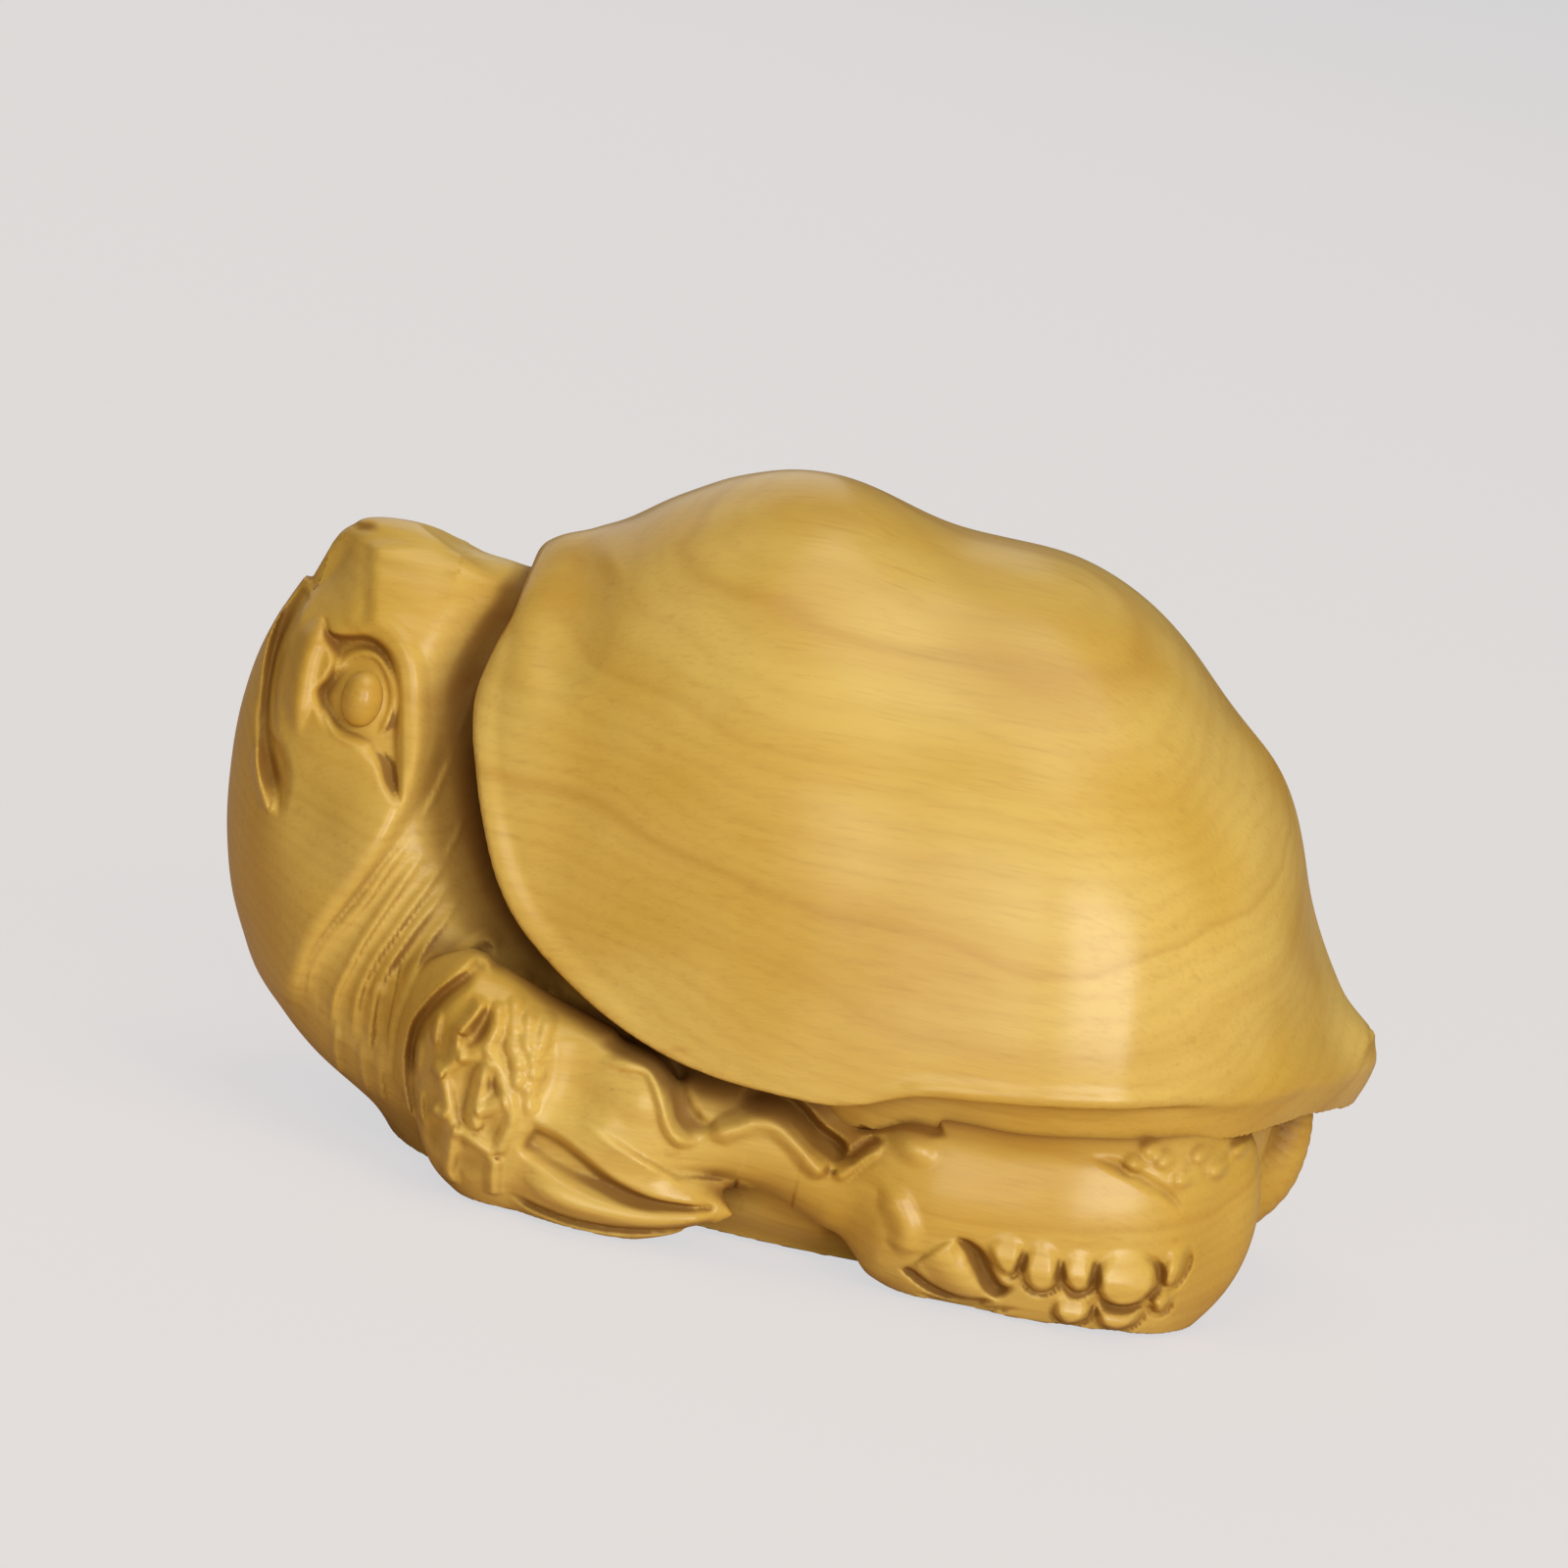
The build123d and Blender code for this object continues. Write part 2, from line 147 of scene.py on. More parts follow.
# Level outlines of the head with the neck: height, front, back, half width
FRONT = Table([
    (-1.0, -15.5, -4.7, 8.9), (1.1, -17.4, -4.7, 9.4), (3.0, -20.5, -4.7, 10.0),
    (5.4, -23.0, -5.2, 10.0), (8.0, -24.6, -5.7, 9.55), (11.0, -25.55, -6.8, 8.95),
    (14.0, -25.95, -8.3, 8.2), (17.0, -25.97, -9.4, 7.3), (20.0, -25.45, -10.4, 6.2),
    (22.6, -24.4, -11.2, 5.0), (24.3, -23.5, -12.2, 3.75), (25.5, -22.7, -13.6, 2.4),
    (26.05, -21.9, -15.0, 1.2), (26.2, -21.0, -17.0, 0.5),
])

# Top line of the head, from the snout back to the nape, and how softly the crown is rounded
CROWN = Table([
    (-24.0, 25.0), (-23.2, 25.55), (-22.3, 26.0), (-21.4, 26.2), (-20.6, 26.2), (-19.8, 26.1),
    (-18.9, 25.85), (-18.0, 25.55), (-17.0, 25.35), (-15.5, 25.25), (-13.0, 25.2),
])
CROWN_SOFT = 0.6
# Flat face of the snout above the mouth: its lower end and its upper end
SNOUT_FACE = ((-23.95, 22.85), (-23.1, 25.3))

# Level outlines of the body: height, front, back, half width
BODY = Table([
    (-1.0, -12.0, 17.2, 10.6), (0.0, -12.2, 17.7, 10.8), (1.43, -13.6, 19.6, 12.6),
    (4.45, -14.3, 21.2, 13.95), (9.5, -13.8, 21.8, 14.2), (13.4, -12.2, 20.8, 12.6),
    (15.0, -11.5, 20.0, 11.5),
])

# Shape of a level outline: degrees from straight back round to the front, share of an oval
ROUND = Table([
    (0, 1.0), (15, 1.03), (31.4, 1.055), (45, 1.07), (62.2, 1.073), (78, 1.04), (95.7, 1.005),
    (111, 0.995), (127.2, 0.992), (155, 0.993), (180, 1.0),
])
# How steeply a form's distance rises above its highest outline
ABOVE_OUTLINES = 3


def level_form(table):
    """A form built up of level outlines."""
    def form(x, y, z):
        front, back, half = table(z)
        along = (2 * x - front - back) / (back - front)
        across = np.abs(y) / half
        share, = ROUND(np.degrees(np.arctan2(across, along)))
        above = np.maximum(z - table.high, 0)
        return (np.hypot(along, across) / share - 1) * half + above * ABOVE_OUTLINES
    return form


def head_form(x, y, z):
    """Head and neck, cut off at the crown and at the face of the snout."""
    top, = CROWN(x)
    form = -blend(-level_head(x, y, z), top - z, CROWN_SOFT)
    (x0, z0), (x1, z1) = SNOUT_FACE
    size = math.hypot(x1 - x0, z1 - z0)
    ahead = ((z1 - z0) * (x0 - x) + (x1 - x0) * (z - z0)) / size
    return np.maximum(form, np.minimum(ahead, z - z0))


def capped(section, past):
    """Distance from a section of a form, carried on past its end."""
    return np.hypot(np.maximum(section, 0), past) + np.minimum(section, 0)


def past_ends(table, x):
    """How far places lie beyond either end of a table."""
    return np.maximum(np.maximum(table.low - x, x - table.high), 0)


def dome_form(x, y, z):
    """The dome above its widest line, with straight walls below that."""
    top, half, side = DOME(x)
    section = (np.hypot(y / half, np.maximum(z - side, 0) / (top - side)) - 1) * half
    return capped(section, past_ends(DOME, x))


# Limbs on the left: place along the body, distance from the middle, height of the centre,
# half thickness, half height
FORELEG = [
    (-16.6, 9.2, 7.3, 0.3, 0.5), (-16.0, 9.8, 7.0, 1.0, 1.4), (-15.2, 10.6, 6.6, 2.0, 2.8),
    (-14.3, 11.4, 6.0, 2.8, 4.2), (-12.2, 12.1, 5.25, 3.5, 5.4), (-9.0, 12.7, 4.5, 3.3, 5.0),
    (-6.5, 13.6, 4.3, 2.9, 4.1), (-4.2, 14.2, 4.6, 2.2, 2.9), (-2.9, 14.1, 4.8, 1.6, 2.0),
    (-1.6, 13.9, 4.9, 0.9, 1.1), (-0.5, 13.7, 4.9, 0.3, 0.3),
]
# Front paw with its claws swept back along the flank
FRONT_PAW = [
    (-10.8, 12.7, 2.1, 0.8, 0.8), (-10.2, 13.0, 2.1, 1.8, 1.6), (-9.4, 13.3, 2.1, 2.4, 2.1),
    (-8.0, 13.8, 2.1, 2.5, 2.4), (-6.0, 14.4, 2.05, 2.1, 2.4), (-4.0, 14.8, 1.95, 1.6, 1.85),
    (-2.3, 15.0, 1.9, 1.0, 1.1), (-1.2, 15.0, 1.9, 0.5, 0.55), (-0.7, 15.0, 1.9, 0.2, 0.2),
]
PAW_FILLET = 0.4
REAR_LEG = [
    (1.9, 13.6, 4.0, 0.3, 0.4), (3.0, 13.9, 4.0, 1.1, 1.5), (4.5, 14.1, 4.1, 2.1, 3.1),
    (7.0, 14.1, 4.2, 3.0, 4.4), (10.5, 13.7, 4.1, 3.5, 4.9), (14.5, 13.0, 4.2, 3.6, 5.4),
    (18.0, 11.7, 4.5, 3.4, 5.6), (20.3, 10.1, 5.0, 3.0, 5.6), (21.7, 9.6, 4.9, 2.9, 5.5),
]
# Where the rear leg starts to round off towards its last row
REAR_TIP = 18.0
FLANK_FOLD = [
    (-5.6, 12.9, 4.6, 0.3, 0.4), (-4.4, 13.2, 4.7, 0.9, 1.0), (-2.6, 13.6, 4.9, 1.7, 1.9),
    (-1.0, 13.7, 5.1, 2.0, 2.1), (0.8, 13.8, 5.2, 2.1, 2.1), (2.6, 13.8, 4.6, 1.9, 1.9),
    (4.4, 13.6, 4.2, 1.3, 1.4), (6.0, 13.3, 4.0, 0.4, 0.5),
]
LIMB_SAMPLES = 256


def limb_form(rows, tip_from=math.inf):
    """A limb of oval sections, rounded off from the tip's start to the last row."""
    table = Table(rows, LIMB_SAMPLES)
    tip_length = max(table.high - tip_from, 1.0)

    def form(x, y, z):
        across, up, thick, tall = table(x)
        oval = np.hypot((np.abs(y) - across) / thick, (z - up) / tall)
        oval = np.hypot(oval, np.maximum(x - tip_from, 0) / tip_length)
        return capped((oval - 1) * np.minimum(thick, tall), past_ends(table, x))
    return form


level_head = level_form(FRONT)
body_form = level_form(BODY)
forearm_form = limb_form(FORELEG)
paw_form = limb_form(FRONT_PAW)
rear_leg_form = limb_form(REAR_LEG, REAR_TIP)
flank_fold_form = limb_form(FLANK_FOLD)


def front_leg_form(x, y, z):
    return blend(forearm_form(x, y, z), paw_form(x, y, z), PAW_FILLET)


# Tail tucked up under the lip: place along the body, height and radius
TAIL = [
    (18.6, 3.6, 2.4), (20.4, 3.9, 2.1), (21.9, 4.9, 1.6), (22.7, 6.3, 1.15), (23.0, 7.8, 0.8),
    (22.9, 9.0, 0.5),
]
tail_line = smooth_line(TAIL, 3)


def tail_form(x, y, z):
    """A round rod along the tail's line that thins out towards the end."""
    best = np.full(np.shape(x), FAR_AWAY)
    for (x0, z0, r0), (x1, z1, r1) in zip(tail_line[:-1], tail_line[1:]):
        run = (x1 - x0) ** 2 + (z1 - z0) ** 2
        t = np.clip(((x - x0) * (x1 - x0) + (z - z0) * (z1 - z0)) / run, 0, 1)
        gap = np.sqrt((x - x0 - t * (x1 - x0)) ** 2 + (z - z0 - t * (z1 - z0)) ** 2 + y**2)
        best = np.minimum(best, gap - r0 - t * (r1 - r0))
    return best


# Edge of the shell seen from the side, from the nape down and back along the flank
RIM = [
    (-14.1, 27.5), (-14.6, 25.3), (-14.9, 23.6), (-15.35, 22.3), (-15.7, 20.6), (-15.5, 19.2),
    (-15.1, 18.0), (-14.35, 16.0), (-13.1, 13.5), (-11.4, 11.6), (-8.6, 9.8), (-5.7, 8.55),
    (-2.95, 7.95), (0.2, 7.8), (3.2, 7.95), (6.1, 9.0), (9.1, 9.35), (13.4, 9.8), (17.2, 10.3),
    (19.7, 10.8), (21.6, 11.6), (22.8, 12.2), (24.2, 12.5),
]
# The edge goes on from both ends to these places well clear of the shell
BEFORE_RIM = [(-10.0, 90.0)]
AFTER_RIM = [(28.0, 12.8), (28.0, 90.0)]
RIM_REACH = 60.0

# Marginal band: half outline seen from above, from the tail point forward, and its centre
BAND = [
    (26.0, 0.0), (24.6, 4.7), (22.7, 9.0), (20.3, 12.6), (17.0, 15.1), (13.0, 16.5), (7.8, 16.9),
    (3.1, 16.3), (-1.0, 13.7), (-3.1, 7.6), (-3.6, 0.0),
]
BAND_CENTRE = 11.2
# Share of that outline which the band reaches at each height
BAND_HEIGHTS = Table([
    (5.0, 0.885), (6.0, 0.90), (8.5, 0.95), (10.4, 0.995), (11.0, 1.0), (11.5, 0.985),
    (12.3, 0.93), (13.2, 0.865), (14.4, 0.80), (16.0, 0.70), (18.0, 0.56), (20.0, 0.40),
])
# Lower edge of the band along the body, and its upper end inside the dome
BAND_FOOT = Table([
    (-5.2, 6.0), (4.0, 6.6), (7.7, 7.2), (13.7, 7.9), (17.9, 8.4), (20.1, 8.8), (23.0, 9.4),
    (26.0, 8.7), (31.0, 8.0),
])
BAND_TOP = 20.0
BAND_TOP_SLOPE = 0.9

# Rounding of the dome's edge, and of the corner between dome and band, which grows softer by
# this much towards the lip at the tail
RIM_SOFT = 0.25
CORNER_SOFT = 0.25
LIP_SOFTER = 1.5
LIP_STARTS, LIP_FULL = 16, 22.5


def within(outline, x, z):
    """Whether places lie inside a closed outline in the side view."""
    inside = np.zeros(x.shape, bool)
    for (x0, z0), (x1, z1) in zip(outline, outline[1:] + outline[:1]):
        if z0 != z1:
            crossing = (z0 > z) != (z1 > z)
            inside ^= crossing & (x < (x1 - x0) * (z - z0) / (z1 - z0) + x0)
    return inside


def fade(place, ends):
    """1 along a line, going to 0 over the given shares of its length at either end."""
    start = soft_step(0, ends[0], place) if ends[0] > 0 else 1.0
    stop = soft_step(0, ends[1], 1 - place) if ends[1] > 0 else 1.0
    return start * stop


class Relief:
    """Height of carved detail over the side view of the carving."""

    low = (-28.0, -1.5)
    high = (28.0, 34.0)
    step = 0.05
    # Share of its width that a line keeps at a faded end
    thinnest = 0.35
    # Share of its height at which a hanging petal stands out in full
    petal_full = 0.35

    def __init__(self):
        spans = zip(self.low, self.high)
        self.shape = tuple(int(round((b - a) / self.step)) + 1 for a, b in spans)
        self.map = np.zeros(self.shape)

    def window(self, points, reach):
        """The part of the map that lies within reach of the points."""
        spot = []
        for k in (0, 1):
            start = (points[:, k].min() - reach - self.low[k]) / self.step
            stop = (points[:, k].max() + reach - self.low[k]) / self.step
            spot.append(slice(max(int(start), 0), min(int(stop) + 2, self.shape[k])))
        return tuple(spot)

    def places(self, spot):
        """Where the spots of a window lie, along the body and in height."""
        axes = [self.low[k] + self.step * np.arange(spot[k].start, spot[k].stop) for k in (0, 1)]
        return np.meshgrid(*axes, indexing="ij")

    def follow(self, line, reach, steps=8):
        """Window round a soft line: distance, side and place along it for each spot."""
        curve = smooth_line(line, steps)[:, :2]
        spot = self.window(curve, reach)
        u, v = self.places(spot)
        best = np.full(u.shape, FAR_AWAY)
        side = np.zeros(u.shape)
        place = np.zeros(u.shape)
        runs = np.hypot(*np.diff(curve, axis=0).T)
        start = np.concatenate([[0], np.cumsum(runs)])
        for number, (a, b) in enumerate(zip(curve[:-1], curve[1:])):
            run = b - a
            size = max(runs[number], 1e-9)
            t = np.clip(((u - a[0]) * run[0] + (v - a[1]) * run[1]) / size**2, 0, 1)
            du, dv = u - a[0] - t * run[0], v - a[1] - t * run[1]
            gap = np.hypot(du, dv)
            closer = gap < best
            best = np.where(closer, gap, best)
            side = np.where(closer, np.sign(run[0] * dv - run[1] * du), side)
            place = np.where(closer, (start[number] + t * size) / start[-1], place)
        return spot, best, side, place

    def groove(self, line, width, depth, ends=(0.0, 0.0), sharp=0.5):
        """Knife line: a valley of this width and depth that thins out towards its ends."""
        spot, gap, _, place = self.follow(line, width)
        taper = fade(place, ends)
        reach = width * (self.thinnest + (1 - self.thinnest) * taper)
        across = np.clip(gap / reach, 0, 1)
        valley = sharp * (1 - across) + (1 - sharp) * (1 - across**2) ** 2
        self.map[spot] -= depth * taper * valley

    def ridge(self, line, width, height, ends=(0.0, 0.0), sharp=0.0):
        """Raised line, the reverse of a groove."""
        self.groove(line, width, -height, ends, sharp)

    def ledge(self, line, height, soft, reach, ends=(0.2, 0.2)):
        """Step: the left of the line stands up by the height and slopes away over the reach."""
        spot, gap, side, place = self.follow(line, reach)
        up = soft_step(-soft, soft, gap * side) * np.clip(1 - gap / reach, 0, 1) ** 1.5
        self.map[spot] += height * fade(place, ends) * up

    def mound(self, centre, sizes, height, turn=0.0, power=1.0):
        """Soft oval swelling, or a hollow when the height is negative."""
        spot = self.window(np.array([centre], float), max(sizes))
        u, v = self.places(spot)
        c, s = math.cos(math.radians(turn)), math.sin(math.radians(turn))
        du, dv = u - centre[0], v - centre[1]
        far = np.hypot((c * du + s * dv) / sizes[0], (c * dv - s * du) / sizes[1])
        self.map[spot] += height * np.clip(1 - far**2, 0, 1) ** (1 + power)

    def sink(self, outline, depth, soft, hanging=False):
        """Hollow with a closed outline; a hanging one fades out towards its top."""
        steps = 6
        closed = outline + outline[:1]
        spot, gap, _, _ = self.follow(closed, soft, steps)
        u, v = self.places(spot)
        line = [tuple(p) for p in smooth_line(closed, steps)[:-1]]
        inward = np.where(within(line, u, v), gap, -gap)
        lift = soft_step(-soft / 2, soft, inward)
        if hanging:
            heights = [p[1] for p in outline]
            top, bottom = max(heights), min(heights)
            lift = lift * soft_step(top, bottom + self.petal_full * (top - bottom), v)
        self.map[spot] -= depth * lift

    def soften(self, reach):
        """Wears the carved edges a little."""
        far = int(2.5 * reach / self.step) + 1
        offsets = np.arange(-far, far + 1)
        weights = np.exp(-(offsets * self.step / reach) ** 2)
        weights /= weights.sum()
        for axis in (0, 1):
            self.map = sum(w * np.roll(self.map, k, axis) for k, w in zip(offsets, weights))

    def grooves(self, reach):
        """How far each spot lies below the level of its surroundings."""
        made = Relief()
        made.map = self.map.copy()
        made.soften(reach)
        made.map = np.maximum(made.map - self.map, 0)
        return made

    def at(self, x, z):
        """The height at any places, read between the spots of the map."""
        u = np.clip((x - self.low[0]) / self.step, 0, self.shape[0] - 1.001)
        v = np.clip((z - self.low[1]) / self.step, 0, self.shape[1] - 1.001)
        i, j = u.astype(np.int64), v.astype(np.int64)
        s, t = u - i, v - j
        lower = self.map[i, j] * (1 - s) + self.map[i + 1, j] * s
        upper = self.map[i, j + 1] * (1 - s) + self.map[i + 1, j + 1] * s
        return lower * (1 - t) + upper * t


def rim_map():
    """Distance from the shell's edge in the side view, positive below it."""
    made = Relief()
    edge = BEFORE_RIM + [tuple(p) for p in smooth_line(RIM, 4)] + AFTER_RIM
    spot, gap, side, _ = made.follow(edge, RIM_REACH, 1)
    made.map[spot] = -gap * side
    return made


below_rim = rim_map()
band_x, band_y = np.array(BAND).T
band_angles = np.degrees(np.arctan2(band_y, band_x - BAND_CENTRE))
band_reach = Table(sorted(zip(band_angles, np.hypot(band_x - BAND_CENTRE, band_y))))


def band_form(x, y, z):
    """The band's outline, drawn in or out at each height."""
    share, = BAND_HEIGHTS(z)
    reach, = band_reach(np.degrees(np.arctan2(np.abs(y), x - BAND_CENTRE)))
    return np.hypot(x - BAND_CENTRE, y) - share * reach


def shell_forms(x, y, z):
    """Distances from the dome above its edge and from the marginal band."""
    dome = evened(dome_form, x, y, z) - shell_relief.at(x, z)
    dome = -blend(-dome, -below_rim.at(x, z), RIM_SOFT)
    foot, = BAND_FOOT(x)
    band = np.maximum(evened(band_form, x, y, z), foot - z)
    band = np.maximum(band, (z - BAND_TOP) * BAND_TOP_SLOPE)
    return dome, band


def shell(x, y, z):
    dome, band = shell_forms(x, y, z)
    return blend(dome, band, CORNER_SOFT + LIP_SOFTER * soft_step(LIP_STARTS, LIP_FULL, x))


# Forms of the skin, each with the span along the body outside which it isn't worked out
SKIN_FORMS = {
    "head_and_neck": (head_form, -29, -3),
    "body": (body_form, -16, 23),
    "front_leg": (front_leg_form, -18.5, 1.5),
    "rear_leg": (rear_leg_form, 0, 23.5),
    "flank_fold": (flank_fold_form, -7.5, 8),
    "tail": (tail_form, 13.5, 26),
}
# Fillets by which the second and all further forms join those before them
SKIN_FILLETS = (1.0, 1.1, 0.8, 1.6, 1.4)
# Distance added outside a form's span
OUT_OF_SPAN = 3

# Cut into the skin along the shell: a fine line all round, and round the neck a deep line with a
# wide hollow. The neck's cut ends over this run along the body and near the middle plane.
FINE_LINE = 0.08
NECK_LINE = 1.0
NECK_HOLLOW = 1.7
LINE_REACH = 0.7
HOLLOW_REACH = 2.2
NECK_CUT_RUN = (-14, -6)
NECK_CUT_SIDE = (0.3, 5.0)
# The carved detail fades in over these distances from the middle plane
DETAIL_SIDE = (0.2, 1.4)


def near(form, low, high, x, y, z):
    """A form's distance, worked out only where the places reach into its span."""
    if x.min() > high or x.max() < low:
        return np.maximum(low - x, x - high) + OUT_OF_SPAN
    return evened(form, x, y, z)


def skin_forms(x, y, z):
    """Distances from each of the skin's forms."""
    return [near(form, low, high, x, y, z) for form, low, high in SKIN_FORMS.values()]


def skin_under(outer, x, y, z):
    """The carved skin, given its distance from the shell."""
    forms = skin_forms(x, y, z)
    skin = forms[0]
    for form, fillet in zip(forms[1:], SKIN_FILLETS):
        skin = blend(skin, form, fillet)
    gap = np.maximum(outer, 0)
    side = np.abs(y)
    neck = (1 - soft_step(*NECK_CUT_RUN, x)) * soft_step(*NECK_CUT_SIDE, side)
    line = np.exp(-(gap / LINE_REACH) ** 2)
    hollow = np.exp(-(gap / HOLLOW_REACH) ** 2)
    skin = skin + (FINE_LINE + NECK_LINE * neck) * line + NECK_HOLLOW * neck * hollow
    skin = skin - skin_relief.at(x, z) * soft_step(*DETAIL_SIDE, side)
    return np.maximum(skin, -z)


def skin_form(x, y, z):
    return skin_under(shell(x, y, z), x, y, z)


def whole(x, y, z):
    """The whole carving: skin and shell."""
    outer = shell(x, y, z)
    return np.minimum(skin_under(outer, x, y, z), outer)


# Turning forms into meshes

# Corners and edges of a cell, cells along the side of a block, and blocks read in one go
CORNERS = np.array([(a, b, c) for a in (0, 1) for b in (0, 1) for c in (0, 1)])
PAIRS = [(a, b) for a in range(8) for b in range(a + 1, 8)]
EDGES = [(a, b) for a, b in PAIRS if np.abs(CORNERS[a] - CORNERS[b]).sum() == 1]
SIDE = 8
BLOCKS_AT_ONCE = 300
# A block is kept when its middle, and then a place half way to one of its corners, lies this near
# to the surface: a share of the block's size and some millimetres on top. Blocks whose middle
# lies deeper than this inside the other surface are left out.
MIDDLE_NEAR = (1.3, 1.2)
CORNER_NEAR = (0.6, 0.7)
INSIDE_OTHER = (1.3, 1.0)
# Rounds in which points settle onto the surface, and how far they may move, in cells
SETTLE_ROUNDS = 2
SETTLE_REACH = 0.6


def blocks_near(form, low, high, size, even, other):
    """Blocks of space that the form's surface may run through."""
    first = [int(math.floor(v / size)) for v in low]
    last = [int(math.ceil(v / size)) for v in high]
    if even:
        first[1] = 0
    axes = [np.arange(a, b) for a, b in zip(first, last)]
    blocks = np.stack(np.meshgrid(*axes, indexing="ij"), -1).reshape(-1, 3)
    centre = (blocks + 0.5) * size
    wanted = np.abs(form(*centre.T)) < size * MIDDLE_NEAR[0] + MIDDLE_NEAR[1]
    if other is not None:
        wanted &= other(*centre.T) > -size * INSIDE_OTHER[0] - INSIDE_OTHER[1]
    blocks = blocks[wanted]
    close = np.zeros(len(blocks), bool)
    for corner in CORNERS:
        half_way = (blocks + 0.25 + 0.5 * corner) * size
        close |= np.abs(form(*half_way.T)) < size * CORNER_NEAR[0] + CORNER_NEAR[1]
    return blocks[close]


def read_form(form, blocks, cell):
    """The form's distance at every grid point of every block."""
    corner = np.arange(SIDE + 1)
    values = np.empty((len(blocks), SIDE + 1, SIDE + 1, SIDE + 1))
    for k in range(0, len(blocks), BLOCKS_AT_ONCE):
        base = blocks[k:k + BLOCKS_AT_ONCE] * SIDE
        x, y, z = [(base[:, n, None] + corner) * cell for n in range(3)]
        shape = (len(base), SIDE + 1, SIDE + 1, SIDE + 1)
        x = np.broadcast_to(x[:, :, None, None], shape).ravel()
        y = np.broadcast_to(y[:, None, :, None], shape).ravel()
        z = np.broadcast_to(z[:, None, None, :], shape).ravel()
        values[k:k + BLOCKS_AT_ONCE] = form(x, y, z).reshape(shape)
    return values


def surface_points(values, blocks):
    """Cells that the surface crosses, and its mean place within each, counted in cells."""
    inside = values < 0
    count = np.zeros((len(blocks), SIDE, SIDE, SIDE), np.int8)
    for a, b, c in CORNERS:
        count += inside[:, a:a + SIDE, b:b + SIDE, c:c + SIDE]
    number, i, j, k = np.nonzero((count > 0) & (count < 8))
    held = np.stack([values[number, i + a, j + b, k + c] for a, b, c in CORNERS], 1)
    total = np.zeros((len(number), 3))
    hits = np.zeros(len(number))
    for a, b in EDGES:
        crossed = (held[:, a] < 0) != (held[:, b] < 0)
        part = np.where(crossed, held[:, a] / np.where(crossed, held[:, a] - held[:, b], 1), 0)
        spot = CORNERS[a] + part[:, None] * (CORNERS[b] - CORNERS[a])
        total += np.where(crossed[:, None], spot, 0)
        hits += crossed
    cells = blocks[number] * SIDE + np.stack([i, j, k], 1)
    return cells, cells + total / hits[:, None]


def cell_numbering(blocks):
    """A function that gives every cell in and round the blocks its own number."""
    offset = (blocks.min(0) - 2) * SIDE
    extent = (blocks.max(0) + 3) * SIDE - offset

    def key(at):
        at = at - offset
        return (at[..., 0] * extent[1] + at[..., 1]) * extent[2] + at[..., 2]
    return key


def surface_faces(values, blocks, keys, key):
    """Faces across every grid edge that the surface crosses, over the sorted cells' points."""
    inside = values < 0
    faces = []
    for axis in range(3):
        ahead = [slice(0, SIDE)] * 3
        ahead[axis] = slice(1, SIDE + 1)
        here = inside[:, :SIDE, :SIDE, :SIDE]
        there = inside[(slice(None), *ahead)]
        number, i, j, k = np.nonzero(here != there)
        at = blocks[number] * SIDE + np.stack([i, j, k], 1)
        one, two = np.eye(3, dtype=int)[(axis + 1) % 3], np.eye(3, dtype=int)[(axis + 2) % 3]
        ring = np.stack([key(at - one - two), key(at - two), key(at), key(at - one)], 1)
        found = np.clip(np.searchsorted(keys, ring), 0, len(keys) - 1)
        complete = (keys[found] == ring).all(1)
        outward = here[number, i, j, k]
        found = np.where(outward[:, None], found, found[:, ::-1])
        faces.append(found[complete])
    return np.vstack(faces)


def carve(form, low, high, cell, even=True, other=None):
    """Skin of a form as points and four-sided faces; even forms are mirrored about Y = 0."""
    blocks = blocks_near(form, low, high, SIDE * cell, even, other)
    values = read_form(form, blocks, cell)
    if even:
        mirrored = blocks.copy()
        mirrored[:, 1] = -1 - mirrored[:, 1]
        blocks = np.vstack([blocks, mirrored])
        values = np.concatenate([values, values[:, :, ::-1, :]])
    cells, points = surface_points(values, blocks)
    key = cell_numbering(blocks)
    keys = key(cells)
    order = np.argsort(keys)
    points = points[order] * cell
    faces = surface_faces(values, blocks, keys[order], key)
    for _ in range(SETTLE_ROUNDS):
        points = settle(form, points, SETTLE_REACH * cell)
    return points, faces


def settle(form, points, limit, step=0.02, least_slope=0.05):
    """Moves points onto the form's surface, by at most the limit."""
    x, y, z = points.T
    here = form(x, y, z)
    rise = [form(x + step, y, z) - here, form(x, y + step, z) - here, form(x, y, z + step) - here]
    slope = np.stack(rise, 1) / step
    move = -here[:, None] * slope / np.maximum((slope**2).sum(1), least_slope)[:, None]
    far = np.linalg.norm(move, axis=1, keepdims=True)
    return points + move * np.minimum(1, limit / np.maximum(far, 1e-9))


def normals_at(form, points, step=0.04):
    """Outward directions of the form's surface at its points."""
    x, y, z = points.T
    slope = np.stack([
        form(x + step, y, z) - form(x - step, y, z),
        form(x, y + step, z) - form(x, y - step, z),
        form(x, y, z + step) - form(x, y, z - step),
    ], 1)
    return slope / np.maximum(np.linalg.norm(slope, axis=1, keepdims=True), 1e-9)


# Distances at which the room above a point is looked at, and how much each of them counts
ROOM_READ = ((0.35, 0.3), (0.9, 0.35), (2.2, 0.25), (4.5, 0.35))


def hollows(normal, points):
    """How deep each point sits between raised parts: 0 in the open, 1 in a deep groove."""
    held = np.zeros(len(points))
    for reach, weight in ROOM_READ:
        room = whole(*(points + normal * reach).T) / reach
        held += weight * np.clip(1 - room, 0, 1)
    return held


